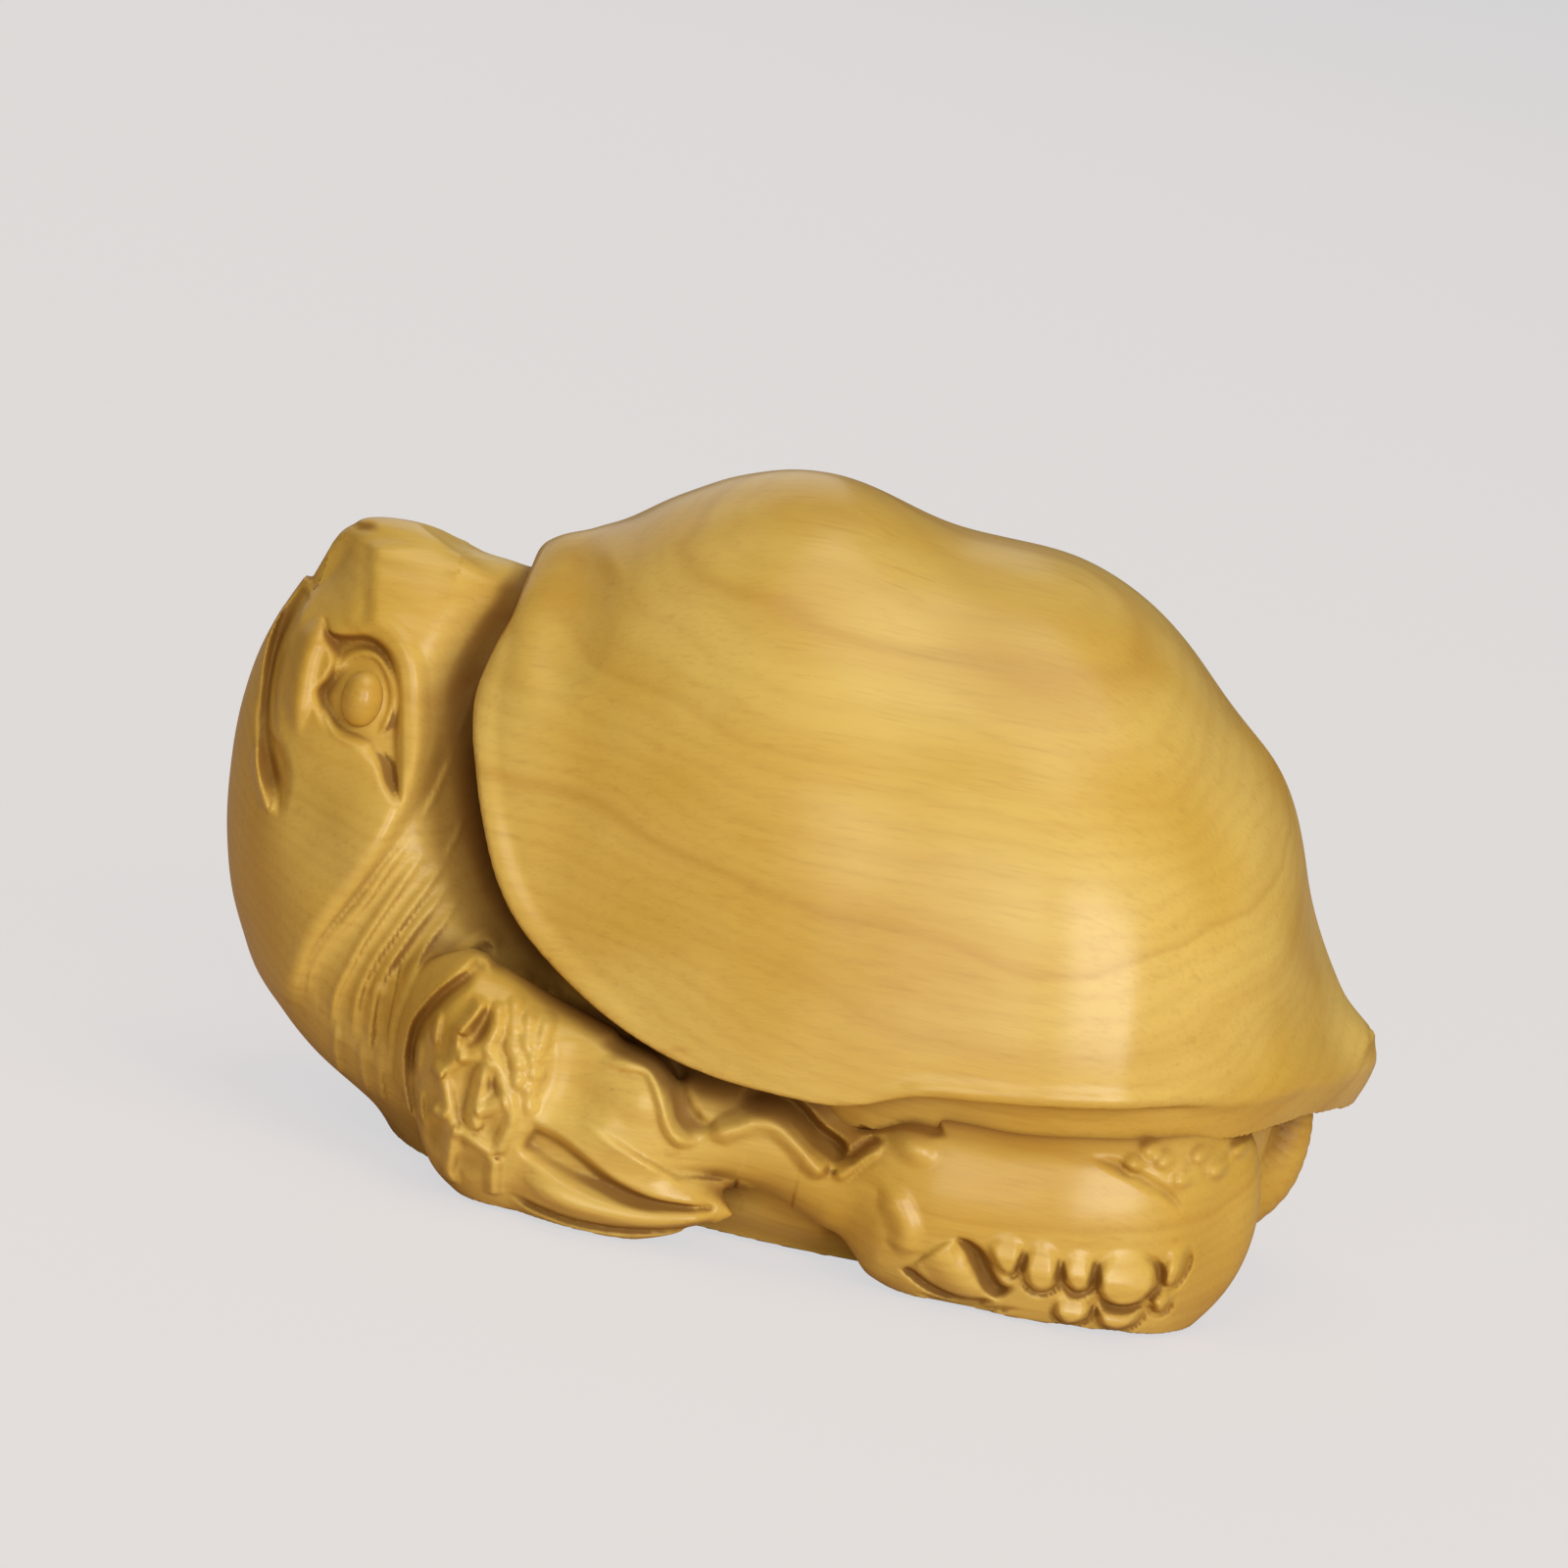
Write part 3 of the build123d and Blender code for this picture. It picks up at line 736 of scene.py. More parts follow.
def make_mesh(name, points, faces, normals, hollow):
    """A smooth piece that also holds how hollow each of its points is."""
    mesh = bpy.data.meshes.new(name)
    mesh.vertices.add(len(points))
    mesh.vertices.foreach_set("co", (points * MM).astype(np.float32).ravel())
    mesh.loops.add(faces.size)
    mesh.loops.foreach_set("vertex_index", faces.astype(np.int32).ravel())
    mesh.polygons.add(len(faces))
    mesh.polygons.foreach_set("loop_start", np.arange(0, faces.size, 4, dtype=np.int32))
    mesh.polygons.foreach_set("use_smooth", np.ones(len(faces), bool))
    mesh.update(calc_edges=True)
    layer = mesh.attributes.new("hollow", "FLOAT", "POINT")
    layer.data.foreach_set("value", hollow.astype(np.float32))
    mesh.normals_split_custom_set_from_vertices(normals)
    piece = bpy.data.objects.new(name, mesh)
    bpy.context.scene.collection.objects.link(piece)
    return piece


def place_piece(name, node, points, faces, normals, hollow):
    """A piece of boxwood that stands for a node of the frame."""
    piece = make_mesh(name, points, faces, normals, hollow)
    piece.data.materials.append(boxwood)
    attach(piece, "root")
    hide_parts(node)


def place_part(name, node, surface, chosen):
    """One piece from the chosen faces of a carved surface."""
    points, faces, normals, hollow = surface
    faces = faces[chosen]
    used, number = np.unique(faces, return_inverse=True)
    faces = number.reshape(faces.shape)
    place_piece(name, node, points[used], faces, normals[used], hollow[used])


def place_pair(name, node, points, faces, normals, hollow):
    """The left piece and its mirror image on the right flank."""
    flip = np.array((1, -1, 1))
    place_piece(name.format("left"), node.format("left"), points, faces, normals, hollow)
    points, faces, normals = points * flip, faces[:, ::-1], normals * flip
    place_piece(name.format("right"), node.format("right"), points, faces, normals, hollow)


# Carved detail. Places are given in the side view, along the body and in height. Sizes are
# widths, depths and heights; ends are the shares of a line's length over which it fades.

skin_relief = Relief()
shell_relief = Relief()


def carve_head(relief):
    # nostril nick, edge of the snout, hollow behind the nostril, cheek, jaw and muzzle
    relief.mound((-22.1, 25.65), (0.75, 0.28), height=-0.3, turn=18)
    relief.ledge(
        [(-21.6, 25.4), (-21.35, 24.2), (-21.1, 23.2), (-20.9, 22.2), (-20.8, 21.7)],
        height=0.32, soft=0.45, reach=3.2, ends=(0.1, 0.3),
    )
    relief.mound((-23.4, 23.7), (2.0, 2.8), height=-0.55, turn=10)
    relief.mound((-19.2, 14.0), (3.4, 3.6), height=0.5, turn=20)
    relief.mound((-22.3, 11.5), (2.5, 4.0), height=0.25, turn=20)
    relief.ridge(
        [(-22.9, 22.0), (-23.15, 21.2), (-23.35, 20.2), (-23.35, 19.0), (-23.25, 17.9), (-23.0, 16.7)],
        width=0.8, height=0.42, ends=(0.25, 0.3),
    )
    # mouth: lip edge, the broad dark line behind it and a thin line beside that
    lip = [
        (-24.45, 22.75), (-24.9, 21.6), (-25.2, 20.4), (-25.2, 19.2), (-25.1, 18.4), (-24.95, 17.3),
        (-24.8, 16.6),
    ]
    relief.ridge(lip, width=0.3, height=0.2, ends=(0.1, 0.3))
    relief.groove(
        [
            (-24.1, 22.7), (-24.45, 21.5), (-24.75, 20.3), (-24.85, 19.2), (-24.8, 18.1),
            (-24.6, 17.0), (-24.3, 15.9), (-23.85, 14.8), (-23.2, 13.5),
        ],
        width=0.5, depth=0.42, ends=(0.05, 0.15), sharp=0.3,
    )
    relief.groove(
        [(-24.2, 20.7), (-24.45, 19.3), (-24.4, 18.2), (-24.2, 17.1), (-23.85, 16.2)],
        width=0.24, depth=0.2, ends=(0.25, 0.25), sharp=0.3,
    )
    relief.sink(
        [
            (-24.25, 16.4), (-24.0, 15.4), (-23.7, 14.5), (-23.2, 13.4), (-22.95, 14.2), (-23.1, 15.3),
            (-23.6, 16.2),
        ],
        depth=0.35, soft=0.45,
    )
    relief.ridge(
        [(-24.85, 16.2), (-24.6, 15.1), (-24.15, 14.1), (-23.5, 13.2)],
        width=0.36, height=0.36, ends=(0.3, 0.15),
    )
    # almond of the eye with its tail, seat of the eyeball, upper and lower lid, hollow in the
    # corner of the eye, and brow
    relief.sink(
        [
            (-22.9, 21.7), (-22.5, 21.25), (-21.6, 21.45), (-20.9, 21.6), (-20.3, 21.5), (-19.7, 21.1),
            (-19.2, 20.3), (-18.8, 19.0), (-18.55, 17.8), (-18.25, 16.6), (-18.05, 15.4),
            (-18.75, 15.8), (-19.3, 16.6), (-20.3, 17.1), (-21.4, 17.35), (-22.0, 17.75),
            (-22.4, 18.3), (-22.55, 18.9), (-22.25, 19.5), (-22.1, 20.2), (-22.5, 20.9),
        ],
        depth=0.7, soft=0.4,
    )
    relief.mound((-20.5, 19.1), (1.7, 2.0), height=0.22, turn=0, power=0.3)
    relief.ridge(
        [
            (-21.9, 19.5), (-21.6, 20.4), (-20.8, 20.85), (-20.1, 20.7), (-19.5, 20.0), (-19.2, 19.1),
            (-19.3, 18.2), (-19.6, 17.6),
        ],
        width=0.26, height=0.24, ends=(0.1, 0.1),
    )
    relief.ridge(
        [(-22.2, 18.3), (-21.7, 17.7), (-21.3, 17.4), (-20.6, 17.25), (-19.8, 17.2), (-19.4, 17.3)],
        width=0.28, height=0.3, ends=(0.2, 0.2),
    )
    relief.sink(
        [
            (-19.5, 17.0), (-19.0, 16.95), (-18.6, 16.6), (-18.3, 15.8), (-18.2, 15.5), (-18.7, 15.9),
            (-19.2, 16.5),
        ],
        depth=0.25, soft=0.25,
    )
    relief.ridge(
        [
            (-22.4, 22.1), (-21.4, 22.0), (-20.5, 22.2), (-19.4, 21.7), (-18.6, 20.7), (-18.15, 19.3),
            (-17.85, 17.6), (-17.6, 16.0),
        ],
        width=0.6, height=0.16, ends=(0.2, 0.2),
    )


# Crests of the wrinkles that fan out from behind the jaw
WRINKLES = [
    [
        (-17.1, 14.2), (-17.9, 12.7), (-18.6, 11.1), (-19.2, 10.0), (-19.9, 8.8), (-20.4, 7.2),
        (-20.4, 5.6),
    ],
    [
        (-16.4, 13.7), (-17.2, 12.1), (-17.9, 10.5), (-18.4, 9.3), (-18.8, 8.0), (-19.2, 6.4),
        (-19.1, 4.4),
    ],
    [
        (-15.4, 13.5), (-16.0, 12.3), (-16.6, 11.1), (-17.2, 9.8), (-17.8, 8.5), (-18.2, 6.8),
        (-18.1, 4.6),
    ],
    [
        (-15.1, 12.5), (-15.7, 11.4), (-16.3, 10.3), (-16.9, 9.0), (-17.3, 8.0), (-17.5, 6.6),
        (-17.2, 3.6),
    ],
    [
        (-14.5, 12.0), (-15.0, 11.0), (-15.6, 9.9), (-16.0, 8.8), (-16.3, 7.5), (-16.5, 6.0),
        (-16.2, 3.0),
    ],
]


def carve_neck(relief):
    # edge of the jaw, the wrinkles and the valleys between them
    jaw = [
        (-21.2, 4.2), (-20.9, 6.2), (-20.5, 8.3), (-19.7, 10.3), (-18.8, 12.2), (-18.1, 13.9),
        (-17.6, 15.6), (-17.1, 17.6), (-16.6, 19.4),
    ]
    relief.ledge(jaw, height=0.8, soft=0.7, reach=3.2, ends=(0.15, 0.3))
    for line in WRINKLES:
        relief.ridge(line, width=0.3, height=0.17, ends=(0.2, 0.2), sharp=0.3)
    for one, two in zip([jaw[7:0:-1]] + WRINKLES, WRINKLES):
        relief.groove(
            [((a[0] + b[0]) / 2, (a[1] + b[1]) / 2) for a, b in zip(one, two)],
            width=0.5, depth=0.1, ends=(0.2, 0.2), sharp=0.1,
        )
    # fine lines behind the jaw, and folds at the foot of the throat
    for line in [
        [(-16.2, 17.6), (-16.6, 15.8), (-17.0, 14.6)],
        [(-15.9, 20.6), (-16.0, 19.2), (-16.2, 17.9)],
        [(-15.2, 15.0), (-15.4, 14.0), (-15.7, 13.2)],
    ]:
        relief.ridge(line, width=0.22, height=0.1, ends=(0.3, 0.3), sharp=0.3)
    for line in [
        [(-18.9, 5.6), (-18.8, 4.0), (-18.3, 2.4)],
        [(-17.7, 5.4), (-17.5, 3.8), (-16.9, 2.0)],
        [(-16.7, 5.6), (-16.7, 4.0), (-16.2, 1.8)],
        [(-16.0, 6.6), (-15.95, 4.8), (-15.5, 2.2)],
    ]:
        relief.ridge(line, width=0.32, height=0.18, ends=(0.3, 0.2), sharp=0.2)
    # fold of the shoulder round the forearm, with short folds beside it
    fold = [
        (-12.6, 9.6), (-12.9, 10.2), (-13.4, 10.3), (-14.1, 9.55), (-14.8, 8.7), (-15.3, 7.85),
        (-15.65, 7.0), (-15.75, 6.0), (-15.6, 4.4), (-15.1, 2.9), (-14.4, 1.8),
    ]
    relief.ridge(fold, width=0.42, height=0.34, ends=(0.08, 0.15), sharp=0.3)
    relief.groove(
        [(x + 0.5, z - 0.25) for x, z in fold[2:9]],
        width=0.4, depth=0.22, ends=(0.2, 0.2), sharp=0.2,
    )
    relief.ridge(
        [(-12.5, 9.0), (-12.95, 8.2), (-13.4, 7.5), (-13.5, 6.6)],
        width=0.34, height=0.3, ends=(0.2, 0.2), sharp=0.3,
    )
    relief.ridge(
        [(-14.4, 8.0), (-14.45, 7.2), (-14.3, 6.2)],
        width=0.3, height=0.28, ends=(0.3, 0.3), sharp=0.3,
    )
    relief.ridge(
        [(-15.0, 6.4), (-15.05, 5.6), (-14.9, 4.8)],
        width=0.28, height=0.22, ends=(0.3, 0.3), sharp=0.3,
    )
    relief.ridge(
        [(-14.6, 4.6), (-14.5, 3.6), (-14.1, 2.6)],
        width=0.28, height=0.2, ends=(0.3, 0.3), sharp=0.3,
    )


def carve_front_foot(relief):
    # net of raised borders between the scales of the forearm
    for line in [
        [
            (-13.4, 7.3), (-13.35, 6.3), (-13.75, 5.5), (-13.5, 4.7), (-13.2, 3.9), (-12.9, 2.9),
            (-12.85, 1.9), (-12.8, 1.1), (-12.2, 0.5),
        ],
        [(-12.7, 8.9), (-13.0, 8.1), (-13.4, 7.3)],
        [(-12.1, 8.9), (-11.9, 8.0), (-12.3, 7.0), (-12.8, 6.5), (-13.35, 6.3)],
        [
            (-12.3, 7.1), (-11.7, 6.6), (-11.2, 5.6), (-10.75, 5.1), (-10.5, 4.2), (-10.7, 3.2),
            (-10.9, 2.5),
        ],
        [(-12.0, 6.7), (-12.1, 5.3), (-12.15, 4.1), (-11.8, 3.4)],
        [(-13.0, 3.3), (-12.3, 3.1), (-11.7, 2.85), (-10.9, 2.5)],
        [(-10.9, 2.5), (-10.85, 1.5), (-10.7, 0.6)],
        [(-12.1, 4.2), (-11.4, 4.7), (-10.8, 5.0)],
        [(-14.0, 3.9), (-13.3, 3.6)],
        [(-14.3, 5.6), (-13.7, 5.4)],
    ]:
        relief.ridge(line, width=0.46, height=0.36, ends=(0.08, 0.08), sharp=0.35)
    for centre, sizes, turn in [
        ((-12.65, 5.1), (0.7, 1.5), 5),
        ((-11.35, 3.75), (0.6, 0.75), 0),
        ((-11.9, 1.8), (0.9, 0.8), 0),
        ((-11.5, 5.7), (0.5, 0.9), 15),
        ((-12.55, 7.5), (0.5, 0.8), -10),
        ((-13.6, 2.5), (0.6, 1.0), 0),
    ]:
        relief.mound(centre, sizes, height=-0.2, turn=turn)
    # pebbled scales beside the net
    relief.mound((-10.3, 6.9), (1.2, 2.4), height=0.28, turn=5)
    for place in [
        (-10.6, 8.4), (-9.8, 8.3), (-10.5, 7.6), (-10.05, 7.0), (-9.85, 6.35), (-9.95, 5.6),
        (-9.85, 4.95), (-10.75, 6.7), (-10.6, 5.95), (-11.2, 8.1), (-11.1, 7.3), (-9.85, 7.7),
        (-11.3, 8.8),
    ]:
        relief.mound(place, (0.44, 0.5), height=0.26, turn=10, power=0.6)
    # claws: the first stands over a hollow, then two slender ones below
    relief.sink(
        [
            (-9.6, 4.2), (-8.4, 3.95), (-7.2, 3.4), (-5.9, 2.75), (-4.7, 2.35), (-3.5, 2.15),
            (-1.5, 2.1), (-3.0, 1.85), (-4.6, 1.7), (-6.0, 1.85), (-7.4, 2.1), (-8.8, 2.5),
            (-9.9, 3.1),
        ],
        depth=0.75, soft=0.5,
    )
    relief.ledge(
        [(-9.6, 4.2), (-8.4, 3.95), (-7.2, 3.4), (-5.9, 2.75), (-4.7, 2.35), (-3.5, 2.15), (-1.6, 2.1)],
        height=0.25, soft=0.12, reach=2.0, ends=(0.25, 0.1),
    )
    relief.ledge(
        [(-2.5, 2.75), (-3.2, 3.15), (-4.4, 3.7), (-5.9, 4.3), (-7.1, 4.75), (-7.9, 4.9)],
        height=0.42, soft=0.14, reach=1.7, ends=(0.35, 0.4),
    )
    relief.ridge(
        [(-9.9, 2.0), (-8.8, 1.65), (-7.2, 1.3), (-5.6, 1.2), (-4.0, 1.25), (-2.5, 1.45), (-1.2, 1.8)],
        width=0.7, height=0.36, ends=(0.2, 0.1), sharp=0.1,
    )
    relief.groove(
        [(-10.3, 0.9), (-8.9, 0.6), (-7.2, 0.4), (-5.5, 0.45), (-3.9, 0.7), (-2.3, 1.1), (-1.0, 1.6)],
        width=0.32, depth=0.36, ends=(0.15, 0.1), sharp=0.4,
    )
    # web and the wavy fold behind it
    relief.ridge(
        [
            (-7.6, 7.3), (-6.3, 7.55), (-5.35, 7.6), (-4.8, 7.2), (-4.3, 6.4), (-3.9, 5.45),
            (-3.3, 4.9), (-2.4, 4.85),
        ],
        width=0.5, height=0.5, ends=(0.25, 0.15), sharp=0.3,
    )
    relief.groove(
        [
            (-7.9, 7.9), (-6.3, 8.2), (-5.1, 8.1), (-4.3, 7.4), (-3.8, 6.6), (-3.3, 5.9), (-2.6, 5.6),
            (-1.7, 5.9),
        ],
        width=0.7, depth=0.42, ends=(0.35, 0.2), sharp=0.2,
    )
    relief.mound((-8.4, 6.0), (2.3, 2.2), height=-0.7, turn=-10)
    relief.mound((-5.1, 6.5), (1.7, 1.6), height=0.3, turn=-25)


def carve_flank(relief):
    # wavy fold between the legs, the furrow above it, and small folds in front of the thigh
    relief.ridge(
        [(-2.4, 5.1), (-1.3, 5.7), (-0.3, 6.25), (0.6, 6.25), (1.5, 5.7), (2.4, 4.95), (3.2, 4.5)],
        width=0.7, height=0.6, ends=(0.15, 0.1), sharp=0.3,
    )
    relief.groove(
        [(-1.3, 6.7), (-0.4, 7.1), (0.5, 7.1), (1.4, 6.65), (2.3, 6.0), (3.2, 5.6), (3.9, 5.3)],
        width=0.6, depth=0.8, ends=(0.15, 0.1), sharp=0.3,
    )
    relief.ridge(
        [(3.2, 4.4), (3.8, 4.9), (4.4, 5.7), (5.2, 6.4)],
        width=0.4, height=0.3, ends=(0.2, 0.2), sharp=0.3,
    )
    relief.groove(
        [(3.7, 5.2), (4.5, 6.1), (5.2, 6.6)],
        width=0.32, depth=0.35, ends=(0.2, 0.3), sharp=0.3,
    )
    relief.groove(
        [(3.7, 6.5), (4.7, 7.1), (5.7, 7.55), (6.7, 7.6), (7.8, 7.3)],
        width=0.45, depth=0.5, ends=(0.2, 0.2), sharp=0.3,
    )


def carve_rear_foot(relief):
    # knee, shin and the hollow in front of it
    relief.mound((6.4, 6.7), (1.3, 1.0), height=0.5, turn=-20)
    relief.ridge(
        [(5.3, 4.9), (6.2, 4.0), (6.8, 3.0), (6.7, 1.8)],
        width=0.9, height=0.4, ends=(0.3, 0.2), sharp=0.1,
    )
    relief.mound((4.6, 1.9), (1.4, 2.6), height=-0.35, turn=0)
    # first claw, the gap behind it and the slender claws below
    relief.ledge(
        [(9.1, 3.15), (8.5, 2.9), (7.8, 2.1), (7.2, 1.35)],
        height=0.3, soft=0.1, reach=1.4, ends=(0.2, 0.2),
    )
    relief.mound((9.2, 1.6), (1.9, 1.0), height=0.42, turn=-38, power=0.4)
    relief.sink(
        [
            (9.0, 3.2), (9.5, 3.2), (10.2, 2.85), (10.75, 2.1), (11.3, 1.5), (11.7, 1.4), (11.2, 0.85),
            (10.6, 1.1), (10.05, 1.8), (9.55, 2.6),
        ],
        depth=0.8, soft=0.35,
    )
    relief.groove(
        [(6.7, 1.2), (7.3, 1.25), (8.0, 0.85), (8.9, 0.5), (10.0, 0.4), (11.2, 0.6)],
        width=0.32, depth=0.45, ends=(0.15, 0.15), sharp=0.3,
    )
    relief.groove(
        [(7.6, 0.3), (9.0, 0.05), (10.8, 0.15), (12.4, 0.5)],
        width=0.2, depth=0.25, ends=(0.2, 0.2), sharp=0.3,
    )
    # fringe of hanging petals below the edge of the thigh
    for petal, height in [
        (
            [
                (10.3, 3.3), (10.6, 2.55), (11.1, 2.05), (11.6, 2.1), (11.85, 2.8), (11.7, 3.6),
                (11.0, 4.0),
            ],
            0.5,
        ),
        (
            [
                (11.9, 2.7), (12.2, 1.85), (12.8, 1.5), (13.4, 1.8), (13.5, 2.6), (13.2, 3.5),
                (12.4, 4.0),
            ],
            0.65,
        ),
        (
            [
                (13.6, 2.8), (13.85, 2.1), (14.35, 1.75), (14.9, 2.0), (15.0, 2.8), (14.7, 3.6),
                (13.9, 3.8),
            ],
            0.55,
        ),
        (
            [
                (15.1, 2.8), (15.4, 1.8), (16.2, 1.35), (17.15, 1.6), (17.75, 2.5), (17.5, 3.4),
                (16.4, 4.1), (15.5, 3.7),
            ],
            0.75,
        ),
        ([(17.85, 2.8), (18.2, 2.4), (18.6, 2.55), (18.85, 3.3), (18.8, 4.4), (18.1, 4.3)], 0.5),
        (
            [
                (13.6, 1.4), (13.65, 0.6), (14.25, 0.1), (15.0, 0.4), (15.25, 1.1), (14.8, 1.7),
                (14.1, 1.7),
            ],
            0.6,
        ),
        (
            [
                (15.45, 1.1), (15.7, 0.35), (16.4, 0.1), (17.15, 0.5), (17.45, 1.3), (16.8, 1.5),
                (16.0, 1.4),
            ],
            0.6,
        ),
        ([(17.6, 1.9), (17.85, 1.2), (18.35, 1.2), (18.55, 2.0), (18.2, 2.4)], 0.4),
    ]:
        relief.sink(petal, depth=-height, soft=0.35, hanging=True)
        relief.groove(petal[:-1], width=0.34, depth=0.3, ends=(0.3, 0.3), sharp=0.2)
    # crease over the thigh and the bumps of the rump
    relief.groove(
        [(13.6, 7.6), (14.8, 7.4), (16.1, 7.0), (17.6, 6.3), (18.5, 5.4)],
        width=0.4, depth=0.22, ends=(0.3, 0.3), sharp=0.2,
    )
    for place in [
        (15.7, 7.5), (17.0, 7.8), (17.9, 7.1), (18.5, 8.1), (19.4, 7.5), (16.3, 8.2), (20.2, 8.3),
    ]:
        relief.mound(place, (0.55, 0.5), height=0.28, turn=0, power=0.7)


def carve_shell(relief):
    # rolled edge at the neck, the shallow dent behind it, and a bead along the flank
    rim = [
        (-14.6, 26.0), (-15.0, 24.4), (-15.3, 22.7), (-15.5, 20.8), (-15.3, 19.2), (-14.9, 17.8),
        (-14.1, 15.9), (-12.85, 13.6), (-11.2, 11.8), (-8.5, 10.0), (-5.7, 8.8), (-2.9, 8.2),
    ]
    relief.ridge(rim, width=1.0, height=0.2, ends=(0.25, 0.25))
    relief.groove(
        [(-12.3, 27.8), (-12.4, 25.4), (-12.4, 23.0), (-12.2, 20.4)],
        width=2.4, depth=0.35, ends=(0.25, 0.45), sharp=0.0,
    )
    relief.ridge(
        [(4.2, 8.6), (6.1, 9.35), (9.1, 9.75), (13.4, 10.2), (17.2, 10.7), (19.7, 11.2)],
        width=0.5, height=0.2, ends=(0.15, 0.25), sharp=0.3,
    )


for carve_detail in (carve_head, carve_neck, carve_front_foot, carve_flank, carve_rear_foot):
    carve_detail(skin_relief)
carve_shell(shell_relief)

# How far wear rounds the detail off, and how wide round a spot its surroundings are read
SKIN_WEAR = 0.085
SHELL_WEAR = 0.15
SURROUNDINGS = 0.6
skin_relief.soften(SKIN_WEAR)
skin_grooves = skin_relief.grooves(SURROUNDINGS)
shell_relief.soften(SHELL_WEAR)

# Boxwood


class Value:
    """A number that varies over the wood, with plain sums between such numbers."""

    def __init__(self, graph, socket):
        self.graph, self.socket = graph, socket

    def sum(self, operation, *terms):
        return self.graph.value("ShaderNodeMath", {"operation": operation}, dict(enumerate(terms)))

    def __add__(self, other):
        return self.sum("ADD", self, other)

    def __radd__(self, other):
        return self.sum("ADD", other, self)

    def __sub__(self, other):
        return self.sum("SUBTRACT", self, other)

    def __rsub__(self, other):
        return self.sum("SUBTRACT", other, self)

    def __mul__(self, other):
        return self.sum("MULTIPLY", self, other)

    def __rmul__(self, other):
        return self.sum("MULTIPLY", other, self)

    def __pow__(self, other):
        return self.sum("POWER", self, other)

    def __rpow__(self, other):
        return self.sum("POWER", other, self)

    def wave(self):
        return self.sum("SINE", self)

    def between(self, low, high):
        """0 up to the low value, 1 from the high value on, softly joined."""
        sockets = {"From Min": low, "From Max": high, "Value": self}
        return self.graph.value("ShaderNodeMapRange", {"interpolation_type": "SMOOTHSTEP"}, sockets)


class Graph:
    """The nodes of one material."""

    def __init__(self, tree):
        self.tree = tree

    def give(self, place, value):
        """Links a value to a socket, or sets the socket to it."""
        if isinstance(value, Value):
            value = value.socket
        if isinstance(value, bpy.types.NodeSocket):
            self.tree.links.new(value, place)
        else:
            place.default_value = value

    def fill(self, node, sockets):
        for name, value in sockets.items():
            self.give(node.inputs[name], value)

    def node(self, kind, settings, sockets):
        """A node with its settings, then the values or links of its sockets."""
        made = self.tree.nodes.new(kind)
        for name, value in settings.items():
            setattr(made, name, value)
        self.fill(made, sockets)
        return made

    def value(self, kind, settings, sockets, output=0):
        return Value(self, self.node(kind, settings, sockets).outputs[output])

    def stretch(self, place, sizes):
        """Places scaled along each axis."""
        sockets = {0: place, 1: sizes}
        return self.node("ShaderNodeVectorMath", {"operation": "MULTIPLY"}, sockets).outputs[0]

    def noise(self, sizes, detail, rough=0.5):
        """Noise over the wood, with this many grains per millimetre along each axis."""
        place = self.stretch(place_in_wood, sizes)
        sockets = {"Vector": place, "Scale": 1.0, "Detail": detail, "Roughness": rough}
        return self.value("ShaderNodeTexNoise", {}, sockets)

    def tint(self, amount, one, two):
        """Mix of two colours."""
        sockets = {0: amount, 6: one, 7: two}
        return self.node("ShaderNodeMix", {"data_type": "RGBA"}, sockets).outputs[2]


def srgb(red, green, blue):
    """Colour as it is seen on a screen, 0 to 255, turned into light."""
    return tuple(((v / 255 + 0.055) / 1.055) ** 2.4 for v in (red, green, blue)) + (1.0,)


PALE_WOOD = srgb(238, 206, 108)
RIPE_WOOD = srgb(224, 184, 76)
RING_LINE = srgb(192, 136, 40)
STREAK = srgb(186, 128, 44)
# Brown of the painted shade and patina in hollows and grooves
SHADE_AND_PATINA = srgb(120, 66, 24)
WORN = srgb(242, 208, 124)

# The rings' sheets lean by these shares, and wander by these millimetres
RING_RISE = 0.93
RING_LEAN = 0.42
RING_DRIFT = 5.0
RING_RUFFLE = 0.7

boxwood = bpy.data.materials.new("boxwood")
boxwood.use_nodes = True
wood = Graph(boxwood.node_tree)
surface = boxwood.node_tree.nodes["Principled BSDF"]
place_in_wood = wood.node("ShaderNodeTexCoord", {}, {}).outputs["Object"]
place_in_wood = wood.stretch(place_in_wood, (1 / MM, 1 / MM, 1 / MM))
axes = wood.node("ShaderNodeSeparateXYZ", {}, {"Vector": place_in_wood}).outputs
along, across, height = [Value(wood, axis) for axis in axes]
# Hollowness of each point, which drives the painted shade and patina below
hollow = wood.value("ShaderNodeAttribute", {"attribute_name": "hollow"}, {}, "Fac")

# Growth rings lie as tilted sheets, so they show on the dome as shallow bowls
drift = wood.noise((0.045, 0.06, 0.09), 2.0)
ruffle = wood.noise((0.12, 0.5, 0.5), 3.0)
ring_depth = height * RING_RISE - across * RING_LEAN + drift * RING_DRIFT + ruffle * RING_RUFFLE
year_place = wood.node("ShaderNodeCombineXYZ", {}, {"X": ring_depth * 0.55, "Y": along * 0.012})
year_sockets = {"Vector": year_place.outputs[0], "Scale": 1.0, "Detail": 2.0, "Roughness": 0.5}
year = wood.value("ShaderNodeTexNoise", {}, year_sockets)
broad = (ring_depth * 2.6 + year * 3.0).wave() * 0.5 + 0.5
fine = (ring_depth * 8.5 + year * 6.0).wave() * 0.5 + 0.5
rings = broad ** 3.0 * year.between(0.45, 0.65) * 0.34 + fine ** 2.0 * 0.10
fibres = wood.noise((0.35, 5.5, 5.5), 4.0, 0.6)
threads = wood.noise((0.9, 16.0, 16.0), 2.0, 0.6)
clouds = wood.noise((0.07, 0.11, 0.11), 2.0)
dashes = wood.noise((0.16, 1.9, 1.9), 2.0)
tooled = wood.noise((0.8, 0.8, 0.8), 1.0)

